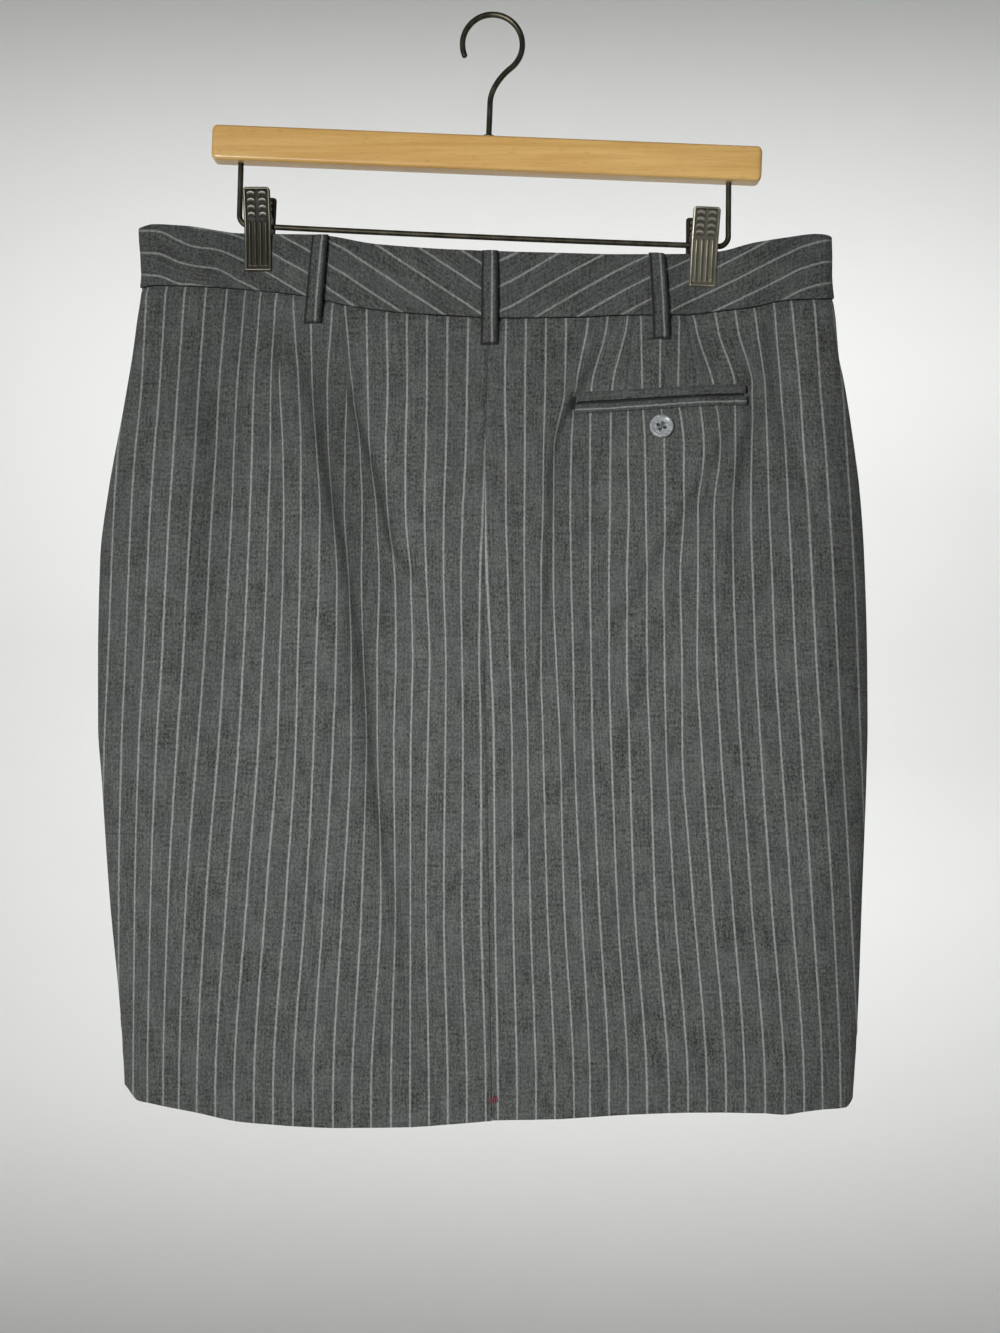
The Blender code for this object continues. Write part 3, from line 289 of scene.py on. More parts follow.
FRONT_LINES = {
    "left_crest": [(-133, -196, 7.0), (-193, -197, 7.5), (-236, -199, 13), (-300, -200, 20), (-357, -200, 22.5),
                   (-420, -200, 23), (-500, -200, 20.5), (-600, -197, 16), (-700, -193, 12)],
    "left_side": [(-133, -158, 6.8), (-193, -158, 6.0), (-236, -158, 9.5), (-300, -159, 16), (-357, -158, 19.5),
                  (-420, -156, 21.5), (-500, -152, 20), (-600, -150, 16), (-700, -150, 12.5)],
    "left_mid": [(-133, -112, 7.4), (-193, -112, 7.4), (-236, -112, 14), (-300, -112, 21.5), (-357, -112, 24.5),
                 (-420, -110, 25), (-500, -106, 22.5), (-600, -100, 17), (-700, -98, 13.2)],
    "left_fall": [(-133, -66, 7.8), (-193, -66, 7.6), (-236, -67, 9.5), (-300, -71, 13.5), (-357, -73, 17),
                  (-420, -70, 19.5), (-500, -62, 19.5), (-600, -52, 16), (-700, -50, 13.4)],
    "centre_left": [(-133, -24, 8.2), (-193, -24, 8.8), (-236, -24, 14), (-300, -24, 20), (-357, -24, 23.5),
                    (-420, -22, 25), (-500, -20, 23), (-600, -18, 17.4), (-700, -16, 13.8)],
    "centre_right": [(-133, 22, 8.2), (-193, 22, 8.8), (-236, 22, 14), (-300, 24, 20), (-357, 24, 23.2),
                     (-420, 24, 24.6), (-500, 22, 22.6), (-600, 20, 17.2), (-700, 20, 13.7)],
    "right_fall": [(-133, 68, 7.8), (-193, 68, 7.6), (-236, 72, 10), (-300, 77, 14), (-357, 80, 17),
                   (-420, 77, 19.5), (-500, 70, 19.5), (-600, 60, 16.2), (-700, 56, 13.4)],
    "right_mid": [(-133, 112, 7.4), (-193, 112, 7.4), (-236, 114, 14), (-300, 116, 21), (-357, 118, 24),
                  (-420, 116, 24.6), (-500, 112, 22.2), (-600, 106, 17), (-700, 104, 13.2)],
    "right_side": [(-133, 152, 6.8), (-193, 152, 6.0), (-236, 153, 10), (-300, 156, 16.5), (-357, 158, 20),
                   (-420, 156, 21.5), (-500, 154, 19.6), (-600, 152, 15.8), (-700, 150, 12.4)],
    "right_crest": [(-133, 190, 6.8), (-193, 192, 7.0), (-236, 196, 12), (-300, 200, 18), (-357, 202, 20.5),
                    (-420, 203, 21), (-500, 202, 19), (-600, 200, 15), (-700, 197, 12)],
}
FRONT_CREASES = {
    "front_main": (3.4, 10, 13, [(72, -236, 0.0), (77, -262, 3.0), (80, -300, 4.6), (81, -350, 3.6), (78, -420, 2.6),
                                 (69, -500, 1.6), (60, -590, 0.0)]),
    "front_left": (3.0, 12, 11, [(-62, -236, 0.0), (-66, -270, 3.0), (-70, -310, 4.0), (-72, -370, 3.0),
                                 (-68, -440, 2.0), (-60, -520, 0.0)]),
    "front_pull": (3.5, 8, 12, [(146, -232, 0.0), (130, -262, 2.0), (110, -296, 2.6), (92, -330, 1.4), (84, -352, 0.0)]),
    "front_pull_left": (3.5, 8, 12, [(-140, -230, 0.0), (-128, -256, 1.8), (-112, -290, 2.2), (-98, -318, 1.2),
                                     (-90, -340, 0.0)]),
    "front_low": (7.0, 14, 18, [(-92, -520, 0.0), (-84, -560, 1.6), (-76, -610, 1.2), (-72, -650, 0.0)]),
}
FRONT_DARTS = {-1: (-108.0, -104.0, -262.0, 1.15), 1: (108.0, 104.0, -262.0, 1.15)}

fold_line = {-1: curve(OUTLINE, 1), 1: curve(OUTLINE, 2)}
centre_back = curve(CENTRE_BACK)


# =============================================================== depth maps
ZG = np.arange(-124.0, -718.0, -1.0)
XG = np.arange(-264.0, 254.0, 1.0)


def base_map(lines):
    """Smooth ridges and valleys: a monotone cubic across the lines at each height."""
    names = list(lines)
    k = np.stack([curve([(z, x) for z, x, _ in lines[n]])(ZG) for n in names], axis=1)
    v = np.stack([curve([(z, d) for z, _, d in lines[n]])(ZG) for n in names], axis=1)
    m = slopes(k, v)
    m[:, 0] = m[:, -1] = 0.0
    x = np.clip(XG[None, :], k[:, :1], k[:, -1:])
    i = np.clip((k[:, :, None] <= x[:, None, :]).sum(1) - 1, 0, len(names) - 2)
    take = lambda a, j: np.take_along_axis(a, j, axis=1)
    k0, k1, v0, v1, m0, m1 = (take(k, i), take(k, i + 1), take(v, i), take(v, i + 1), take(m, i), take(m, i + 1))
    h = k1 - k0
    t = (x - k0) / h
    return ((2 * t**3 - 3 * t**2 + 1) * v0 + (t**3 - 2 * t**2 + t) * h * m0
            + (-2 * t**3 + 3 * t**2) * v1 + (t**3 - t**2) * h * m1)


def blur(a, sigma_z, sigma_x):
    for axis, sigma in ((0, sigma_z), (1, sigma_x)):
        n = int(3 * sigma) + 1
        w = np.exp(-0.5 * (np.arange(-n, n + 1) / sigma) ** 2)
        w /= w.sum()
        pad = [(n, n) if k == axis else (0, 0) for k in (0, 1)]
        b = np.pad(a, pad, mode="edge")
        a = sum(w[i] * (b[i:i + a.shape[0], :] if axis == 0 else b[:, i:i + a.shape[1]]) for i in range(2 * n + 1))
    return a


def add_creases(depth, creases):
    for w0, reach_l, reach_r, rows in creases.values():
        x = np.array([r[0] for r in rows], float)
        z = np.array([r[1] for r in rows], float)
        a = np.array([r[2] for r in rows], float)
        s = np.concatenate([[0], np.cumsum(np.hypot(np.diff(x), np.diff(z)))])
        fine = np.arange(0, s[-1], 1.5)
        fx, fz, fa = (curve(list(zip(s, c)))(fine) for c in (x, z, a))
        tx, tz = np.gradient(fx), np.gradient(fz)
        n = np.hypot(tx, tz)
        tx, tz = tx / n, tz / n
        reach = 3.2 * max(reach_l, reach_r)
        ix = np.where((XG > fx.min() - reach) & (XG < fx.max() + reach))[0]
        iz = np.where((ZG > fz.min() - reach) & (ZG < fz.max() + reach))[0]
        gx, gz = np.meshgrid(XG[ix], ZG[iz])
        best = np.full(gx.shape, 1e9)
        signed, amp = np.zeros(gx.shape), np.zeros(gx.shape)
        for k in range(len(fine)):
            dx, dz = gx - fx[k], gz - fz[k]
            d = np.hypot(dx, dz)
            near = d < best
            best = np.where(near, d, best)
            side = tx[k] * dz - tz[k] * dx
            signed = np.where(near, np.copysign(d, side), signed)
            amp = np.where(near, fa[k], amp)
        tail = np.where(signed < 0, np.exp(signed / reach_l), np.exp(-signed / reach_r))
        depth[np.ix_(iz, ix)] += -0.5 * amp * np.tanh(signed / w0) * tail
    return depth


def unevenness(seed):
    x, z = np.meshgrid(XG, ZG)
    return (0.75 * value_noise(x / 24, z / 80, seed) + 0.35 * value_noise(x / 11 + 7, z / 34, seed + 1)
            + 0.22 * value_noise(x / 17, z / 15 + 3, seed + 2) + 0.10 * value_noise(x / 7, z / 9, seed + 3))


def fade_below_waist(m):
    t = smooth((-188.0 - ZG) / 30.0)[:, None]
    return m * t


MAPS = {
    -1: add_creases(blur(base_map(BACK_LINES), 5.0, 3.0) + fade_below_waist(unevenness(11)), BACK_CREASES),
    1: add_creases(blur(base_map(FRONT_LINES), 5.0, 3.0) + fade_below_waist(unevenness(31)), FRONT_CREASES),
}
MAPS[-1] = blur(MAPS[-1], 0.8, 0.7)
MAPS[1] = blur(MAPS[1], 0.8, 0.7)


def sample(face, x, z):
    m = MAPS[face]
    a = np.clip((np.asarray(x, float) - XG[0]), 0, len(XG) - 1.001)
    b = np.clip((ZG[0] - np.asarray(z, float)), 0, len(ZG) - 1.001)
    i, j = np.floor(b).astype(int), np.floor(a).astype(int)
    fb, fa = b - i, a - j
    return ((m[i, j] * (1 - fa) + m[i, j + 1] * fa) * (1 - fb) + (m[i + 1, j] * (1 - fa) + m[i + 1, j + 1] * fa) * fb)


def rod_height(x):
    c, s = math.cos(HANGER_TILT), math.sin(HANGER_TILT)
    return -(x - ROD_Z * s) / c * s + ROD_Z * c


def pinch(x, z):
    total = 0.0
    for c in CLIPS:
        jaw_end = rod_height(c["x"]) - JAW_BELOW
        across = np.exp(-(np.abs(x - c["x"]) / 22.0) ** 2.6)
        down = 1.0 - smooth((jaw_end - 2.0 - z) / 62.0)
        total = np.maximum(total, across * down)
    return total


def depth(face, x, z):
    """How far the middle of the cloth stands from Y = 0.  The back is read as it looks from EYE."""
    x, z = np.asarray(x, float), np.asarray(z, float)
    left, right = fold_line[-1](z), fold_line[1](z)
    inset_l, inset_r = np.maximum(x - left, 0.0), np.maximum(right - x, 0.0)
    near_left = inset_l < inset_r
    inset = np.where(near_left, inset_l, inset_r)
    reach = np.where(near_left, 46.0, 34.0) if face < 0 else np.where(near_left, 62.0, 56.0)
    power = np.where(near_left, 2.0, 1.9)
    r = FOLD_R
    round_part = np.sqrt(np.maximum(r**2 - (r - np.minimum(inset, r)) ** 2, 0.0))
    slope_part = 1.0 - (1.0 - np.clip(inset / reach, 0.0, 1.0)) ** power
    d = round_part + np.maximum(sample(face, x, z) - r, -1.0) * slope_part
    p = pinch(x, z)
    return d * (1.0 - p) + PINCH_DEPTH * p + SEAM_GAP / 2


def place(face, x, z):
    """World point (mm) of a layout point."""
    d = depth(face, x, z)
    if face < 0:
        s = (800.0 - d) / 800.0
        return np.stack([EYE[0] + (x - EYE[0]) * s, -d, EYE[2] + (z - EYE[2]) * s], axis=-1)
    return np.stack([x, d, z], axis=-1)


def layout(face, x, z):
    """Layout point of the cloth at world place x and height z."""
    x, z = np.asarray(x, float), np.asarray(z, float)
    if face > 0:
        return x, z
    d = np.full(np.broadcast(x, z).shape, 10.0)
    for _ in range(10):
        s = 800.0 / (800.0 - d)
        xp, zp = EYE[0] + (x - EYE[0]) * s, EYE[2] + (z - EYE[2]) * s
        d = depth(face, xp, zp)
    return xp, zp


def normal_at(face, x, z, e=0.7):
    """Unit normal, out of the skirt, at layout points."""
    du = place(face, x + e, z) - place(face, x - e, z)
    dv = place(face, x, z + e) - place(face, x, z - e)
    n = np.cross(du, dv)
    n /= np.linalg.norm(n, axis=-1, keepdims=True)
    return np.where((n[..., 1] * face < 0)[..., None], -n, n)


def layout_line(face, rows):
    """A table of world places and heights as a curve in layout places."""
    x = np.array([r[0] for r in rows], float)
    z = np.array([r[1] for r in rows], float)
    xp, zp = layout(face, x, z)
    return curve(list(zip(xp, zp)))


def dip(x):
    return np.clip(1.0 - (np.asarray(x, float) / 215.0) ** 2, 0.0, 1.0)


_top, _waist = curve(BAND_TOP), curve(WAIST)
band_top = {-1: layout_line(-1, BAND_TOP), 1: lambda x: _top(x) - FRONT_DROP * dip(x)}
waist = {-1: layout_line(-1, WAIST), 1: lambda x: _waist(x) - 0.6 * FRONT_DROP * dip(x)}
hem = {-1: curve(HEM), 1: curve(FRONT_HEM)}


# =============================================================== shells
def shell(name, P, N, t_out, t_in, U, V, mask=None, ends=None, ext=(0.15, 0.15, 0.15, 0.15), steps=4, smooth_deg=60):
    """A closed wall on a grid of middle points P with normals N.
    t_out and t_in are how far the outer and the inner face lie from P.
    U and V are cloth coordinates (mm across and along the stripes) at the grid points;
    ends, if given, is (U at the left, U at the right) of each cell, for breaks at seams.
    mask marks the cells to keep.  ext is how far the rounded rim stands out at the
    first row, last column, last row and first column."""
    R, C = P.shape[:2]
    t_out = np.broadcast_to(t_out, (R, C))
    t_in = np.broadcast_to(t_in, (R, C))
    outer = P + N * t_out[..., None]
    inner = P - N * t_in[..., None]
    idx = np.arange(R * C).reshape(R, C)
    ring = ([(0, j) for j in range(C)] + [(i, C - 1) for i in range(1, R)]
            + [(R - 1, j) for j in range(C - 2, -1, -1)] + [(i, 0) for i in range(R - 2, 0, -1)])
    ri, rj = np.array([q[0] for q in ring]), np.array([q[1] for q in ring])
    gi = np.zeros((R, C, 3))
    gi[0], gi[-1] = P[0] - P[1], P[-1] - P[-2]
    gj = np.zeros((R, C, 3))
    gj[:, 0], gj[:, -1] = P[:, 0] - P[:, 1], P[:, -1] - P[:, -2]
    unit = lambda a: a / np.maximum(np.linalg.norm(a, axis=-1, keepdims=True), 1e-9)
    gi, gj = unit(gi), unit(gj)
    e_i = np.where(np.arange(R) == 0, ext[0], np.where(np.arange(R) == R - 1, ext[2], 0.0))[:, None, None]
    e_j = np.where(np.arange(C) == 0, ext[3], np.where(np.arange(C) == C - 1, ext[1], 0.0))[None, :, None]
    push = (gi * e_i + gj * e_j)[ri, rj]
    mid = ((outer + inner) / 2)[ri, rj]
    half = ((outer - inner) / 2)[ri, rj]
    loops = []
    for k in range(1, steps):
        a = math.pi * k / steps
        loops.append(mid + half * math.cos(a) + push * math.sin(a))
    verts = np.vstack([outer.reshape(-1, 3), inner.reshape(-1, 3)] + loops)
    n_ring = len(ring)
    base_in, base_loops = R * C, 2 * R * C
    keep = np.ones((R - 1, C - 1), bool) if mask is None else mask
    ci, cj = np.nonzero(keep)
    a, b, c, d = idx[ci, cj], idx[ci, cj + 1], idx[ci + 1, cj + 1], idx[ci + 1, cj]
    faces = [np.stack([a, b, c, d], 1), np.stack([a, d, c, b], 1) + base_in]
    ua, ub = (U[:, :-1], U[:, 1:]) if ends is None else ends
    u4 = np.stack([ua[ci, cj], ub[ci, cj], ub[ci + 1, cj], ua[ci + 1, cj]], 1)
    v4 = np.stack([V[ci, cj], V[ci, cj + 1], V[ci + 1, cj + 1], V[ci + 1, cj]], 1)
    us, vs = [u4, u4[:, [0, 3, 2, 1]]], [v4, v4[:, [0, 3, 2, 1]]]
    bx, by = np.meshgrid(np.linspace(0.01, 0.99, C), np.linspace(0.99, 0.01, R))
    o4 = lambda g, i, j: np.stack([g[i, j], g[i, j + 1], g[i + 1, j + 1], g[i + 1, j]], 1)
    bx4, by4 = o4(bx, ci, cj), o4(by, ci, cj)
    bxs = [bx4, bx4[:, [0, 3, 2, 1]]]
    bys = [0.508 + 0.49 * by4, (0.002 + 0.49 * by4)[:, [0, 3, 2, 1]]]
    # rim
    ring_ids = [idx[ri, rj]] + [base_loops + k * n_ring + np.arange(n_ring) for k in range(steps - 1)] + [
        base_in + idx[ri, rj]]
    nxt = np.roll(np.arange(n_ring), -1)
    ur, vr = U[ri, rj], V[ri, rj]
    frac = np.linspace(0.01, 0.99, n_ring + 1)
    for k in range(steps):
        p, q = ring_ids[k], ring_ids[k + 1]
        faces.append(np.stack([p, q, q[nxt], p[nxt]], 1))
        us.append(np.stack([ur, ur, ur[nxt], ur[nxt]], 1))
        vs.append(np.stack([vr, vr, vr[nxt], vr[nxt]], 1))
        bxs.append(np.stack([frac[:-1], frac[:-1], frac[1:], frac[1:]], 1))
        y0, y1 = 0.5045 - 0.009 * k / steps, 0.5045 - 0.009 * (k + 1) / steps
        bys.append(np.tile([y0, y1, y1, y0], (n_ring, 1)))
    # walls round holes
    if mask is not None:
        edges = {}
        for quad in faces[0]:
            for s in range(4):
                e = (int(quad[s]), int(quad[(s + 1) % 4]))
                if (e[1], e[0]) in edges:
                    del edges[(e[1], e[0])]
                else:
                    edges[e] = True
        on_ring = set(int(v) for v in idx[ri, rj])
        extra = [(p, q) for p, q in edges if not (p in on_ring and q in on_ring)]
        if extra:
            f = np.array([[q, p, p + base_in, q + base_in] for p, q in extra])
            faces.append(f)
            uu, vv = U.reshape(-1), V.reshape(-1)
            us.append(np.array([[uu[q], uu[p], uu[p], uu[q]] for p, q in extra]))
            vs.append(np.array([[vv[q], vv[p], vv[p], vv[q]] for p, q in extra]))
            bxs.append(np.tile([0.001, 0.004, 0.004, 0.001], (len(extra), 1)))
            bys.append(np.tile([0.51, 0.51, 0.513, 0.513], (len(extra), 1)))
    faces = np.vstack(faces)
    us, vs, bxs, bys = (np.vstack(g) for g in (us, vs, bxs, bys))
    mesh = bpy.data.meshes.new(name)
    used = np.zeros(len(verts), bool)
    used[faces.ravel()] = True
    renum = np.cumsum(used) - 1
    faces = renum[faces]
    mesh.from_pydata((verts[used] * MM).tolist(), [], faces.tolist())
    for label, x, y in (("cloth", us, vs), ("OFBake", bxs, bys)):
        layer = mesh.uv_layers.new(name=label)
        layer.uv.foreach_set("vector", np.stack([x.ravel(), y.ravel()], 1).astype(np.float32).ravel())
    mesh.uv_layers["cloth"].active = True
    mesh.uv_layers["cloth"].active_render = True
    # the outer face must point out: compare with N
    v0, v1, v2 = (verts[used][faces[0][k]] for k in range(3))
    if np.dot(np.cross(v1 - v0, v2 - v0), N[ci[0], cj[0]]) < 0:
        mesh.flip_normals()
    mesh.shade_smooth()
    mesh.set_sharp_from_angle(angle=math.radians(smooth_deg))
    obj = bpy.data.objects.new(name, mesh)
    bpy.context.scene.collection.objects.link(obj)
    return obj


def grid_normals(P, face):
    """Normals of a grid of points, from its own neighbours, pointing to the given side in Y."""
    du = np.gradient(P, axis=1)
    dv = np.gradient(P, axis=0)
    n = np.cross(du, dv)
    n /= np.maximum(np.linalg.norm(n, axis=-1, keepdims=True), 1e-9)
    total = n[..., 1].mean() * face
    return n if total > 0 else -n


# =============================================================== materials
def nodes_of(mat):
    mat.use_nodes = True
    tree = mat.node_tree
    for n in list(tree.nodes):
        tree.nodes.remove(n)
    out = tree.nodes.new("ShaderNodeOutputMaterial")
    shader = tree.nodes.new("ShaderNodeBsdfPrincipled")
    tree.links.new(shader.outputs[0], out.inputs[0])
    return tree, shader


CLIP_W = 8.5            # half a jaw's width


class Web:
    """Short hands for building node trees."""

    def __init__(self, tree):
        self.t = tree

    def node(self, kind, **props):
        n = self.t.nodes.new(kind)
        for k, v in props.items():
            setattr(n, k, v)
        return n

    def put(self, socket, value):
        if hasattr(value, "is_output") or isinstance(value, bpy.types.NodeSocket):
            self.t.links.new(value, socket)
        else:
            socket.default_value = value

    def math(self, op, a, b=None, c=None, clamp=False):
        n = self.node("ShaderNodeMath", operation=op, use_clamp=clamp)
        self.put(n.inputs[0], a)
        if b is not None:
            self.put(n.inputs[1], b)
        if c is not None:
            self.put(n.inputs[2], c)
        return n.outputs[0]

    def ramp(self, value, lo, hi, to_lo=0.0, to_hi=1.0, smoothstep=True):
        n = self.node("ShaderNodeMapRange", interpolation_type="SMOOTHSTEP" if smoothstep else "LINEAR")
        for s, v in zip(n.inputs[:5], (value, lo, hi, to_lo, to_hi)):
            self.put(s, v)
        return n.outputs[0]

    def noise(self, vector, scale=1.0, detail=2.0, roughness=0.5, distortion=0.0):
        n = self.node("ShaderNodeTexNoise")
        self.put(n.inputs["Vector"], vector)
        n.inputs["Scale"].default_value = scale
        n.inputs["Detail"].default_value = detail
        n.inputs["Roughness"].default_value = roughness
        n.inputs["Distortion"].default_value = distortion
        return n.outputs["Fac"]

    def stretch(self, vector, x, y, z=1.0):
        n = self.node("ShaderNodeVectorMath", operation="MULTIPLY")
        self.put(n.inputs[0], vector)
        n.inputs[1].default_value = (x, y, z)
        return n.outputs[0]

    def mix(self, fac, a, b):
        n = self.node("ShaderNodeMix", data_type="RGBA")
        self.put(n.inputs[0], fac)
        self.put(n.inputs[6], a if not isinstance(a, tuple) else (*a, 1.0))
        self.put(n.inputs[7], b if not isinstance(b, tuple) else (*b, 1.0))
        return n.outputs[2]

    def bump(self, height, strength, distance, normal=None):
        n = self.node("ShaderNodeBump")
        n.inputs["Strength"].default_value = strength
        n.inputs["Distance"].default_value = distance
        self.put(n.inputs["Height"], height)
        if normal is not None:
            self.put(n.inputs["Normal"], normal)
        return n.outputs[0]


def wool(name, stripes=True, shade=1.0, offset=0.0, only=None, painted_edge_shade=None):
    """Charcoal wool flannel.  UV map "cloth" is in millimetres: across, then along, the stripes.
    only = (place, half width) draws one stripe at that place in place of the repeat;
    the last argument, (from, to), darkens the cloth away from its middle line and where V is under 1.7 mm: painted
    shade along a belt loop's edges and at its foot."""
    mat = bpy.data.materials.new(name)
    tree, shader = nodes_of(mat)
    w = Web(tree)
    uv = w.node("ShaderNodeUVMap", uv_map="cloth").outputs[0]
    parts = w.node("ShaderNodeSeparateXYZ")
    w.put(parts.inputs[0], uv)
    u, v = parts.outputs[0], parts.outputs[1]
    # heathered yarns: fine specks, slubs along the warp and the weft, and slow clouding
    fine = w.noise(w.stretch(uv, 0.76, 0.52), 1.0, 2.5, 0.68)
    warp = w.noise(w.stretch(uv, 0.75, 0.045), 1.0, 2.0, 0.55)
    weft = w.noise(w.stretch(uv, 0.07, 0.55), 1.0, 2.0, 0.55)
    cloud = w.noise(w.stretch(uv, 0.075, 0.040), 1.0, 2.0, 0.6)
    h = w.math("MULTIPLY_ADD", fine, 1.05, w.math("MULTIPLY", warp, 0.40))
    h = w.math("MULTIPLY_ADD", weft, 0.30, h)
    h = w.math("MULTIPLY_ADD", cloud, 0.26, h)
    level = w.ramp(h, 0.817, 1.192, 0.0, 1.0, smoothstep=False)
    dark = tuple(c * shade for c in (0.022, 0.0238, 0.0232))
    light = tuple(c * shade for c in (0.134, 0.1415, 0.136))
    colour = w.mix(level, dark, light)
    tint = w.ramp(w.noise(w.stretch(uv, 0.035, 0.03), 1.0, 2.0, 0.5, 0.3), 0.42, 0.60)
    colour = w.mix(w.math("MULTIPLY", tint, 0.16), colour, (0.100 * shade, 0.112 * shade, 0.118 * shade))
    tint2 = w.ramp(w.noise(w.stretch(uv, 0.05, 0.02), 2.0, 2.0, 0.5), 0.55, 0.7)
    colour = w.mix(w.math("MULTIPLY", tint2, 0.16), colour, (0.100 * shade, 0.104 * shade, 0.086 * shade))
    height = w.math("MULTIPLY", fine, 0.6)
    if stripes or only:
        wander = w.math("MULTIPLY", w.math("SUBTRACT", w.noise(w.stretch(uv, 0.02, 0.11), 1.0, 2.0), 0.5), 0.55)
        if only:
            dist = w.math("ABSOLUTE", w.math("ADD", w.math("SUBTRACT", u, only[0]), w.math("MULTIPLY", wander, 0.5)))
            dist = w.math("MULTIPLY", dist, 0.8 / only[1])
        else:
            repeat = w.math("FRACT", w.math("ADD", w.math("MULTIPLY", w.math("ADD", u, wander), 1.0 / PITCH), 0.5 + offset))
            dist = w.math("MULTIPLY", w.math("ABSOLUTE", w.math("SUBTRACT", repeat, 0.5)), PITCH)
        fuzz = w.math("MULTIPLY", w.math("SUBTRACT", w.noise(w.stretch(uv, 1.2, 0.9), 1.0, 1.0), 0.5), 0.55)
        dist = w.math("ADD", dist, fuzz)
        line = w.ramp(dist, 0.98, 0.24)
        strength = w.ramp(w.noise(w.stretch(uv, 0.3, 0.42), 1.0, 3.0, 0.7), 0.30, 0.72, 0.50, 1.0)
        line = w.math("MULTIPLY", line, strength)
        chalk = w.mix(fine, (0.188 * shade, 0.198 * shade, 0.190 * shade), (0.468 * shade, 0.490 * shade, 0.468 * shade))
        colour = w.mix(line, colour, chalk)
        height = w.math("MULTIPLY_ADD", line, 0.35, height)
    # painted shade: darker along a belt loop's edges and at its foot, where shadow falls
    if painted_edge_shade:
        edge = w.ramp(w.math("ABSOLUTE", u), painted_edge_shade[0], painted_edge_shade[1], 0.0, 0.88)
        edge = w.math("MAXIMUM", edge, w.ramp(v, 1.7, 0.1, 0.0, 0.80))
        colour = w.mix(edge, colour, (0.009, 0.010, 0.010))
    w.put(shader.inputs["Base Color"], colour)
    # twill ribs under the nap
    diagonal = w.math("ADD", w.math("MULTIPLY", u, 1.0), w.math("MULTIPLY", v, 0.62))
    rib = w.math("SINE", w.math("MULTIPLY", diagonal, 2 * math.pi / 1.05))
    height = w.math("MULTIPLY_ADD", rib, 0.16, height)
    height = w.math("MULTIPLY_ADD", warp, 0.5, height)
    w.put(shader.inputs["Normal"], w.bump(height, 0.55, 0.00035))
    rough = w.ramp(fine, 0.3, 0.7, 0.80, 0.95)
    w.put(shader.inputs["Roughness"], rough)
    shader.inputs["Specular IOR Level"].default_value = 0.25
    shader.inputs["Sheen Weight"].default_value = 0.10
    shader.inputs["Sheen Roughness"].default_value = 0.55
    shader.inputs["Sheen Tint"].default_value = (0.75, 0.78, 0.77, 1.0)
    return mat


def object_coords(w, matrix=None):
    tc = w.node("ShaderNodeTexCoord")
    return tc.outputs["Object"]


def metal(name, base, worn, rough=(0.30, 0.46), grime=0.6):
    """Plated steel: uneven tone and small scratches."""
    mat = bpy.data.materials.new(name)
    tree, shader = nodes_of(mat)
    w = Web(tree)
    co = object_coords(w)
    patch = w.noise(w.stretch(co, 140, 140, 90), 1.0, 4.0, 0.6)
    scratch = w.noise(w.stretch(co, 2600, 2600, 160), 1.0, 3.0, 0.6)
    fac = w.ramp(w.math("MULTIPLY_ADD", scratch, 0.35, w.math("MULTIPLY", patch, 0.75)), 0.42, 0.72)
    colour = w.mix(fac, base, worn)
    w.put(shader.inputs["Base Color"], colour)
    shader.inputs["Metallic"].default_value = 0.85
    w.put(shader.inputs["Roughness"], w.ramp(patch, 0.3, 0.7, rough[0], rough[1]))
    w.put(shader.inputs["Normal"], w.bump(w.math("ADD", scratch, w.math("MULTIPLY", patch, 0.7)), 0.18, 0.00015))
    return mat


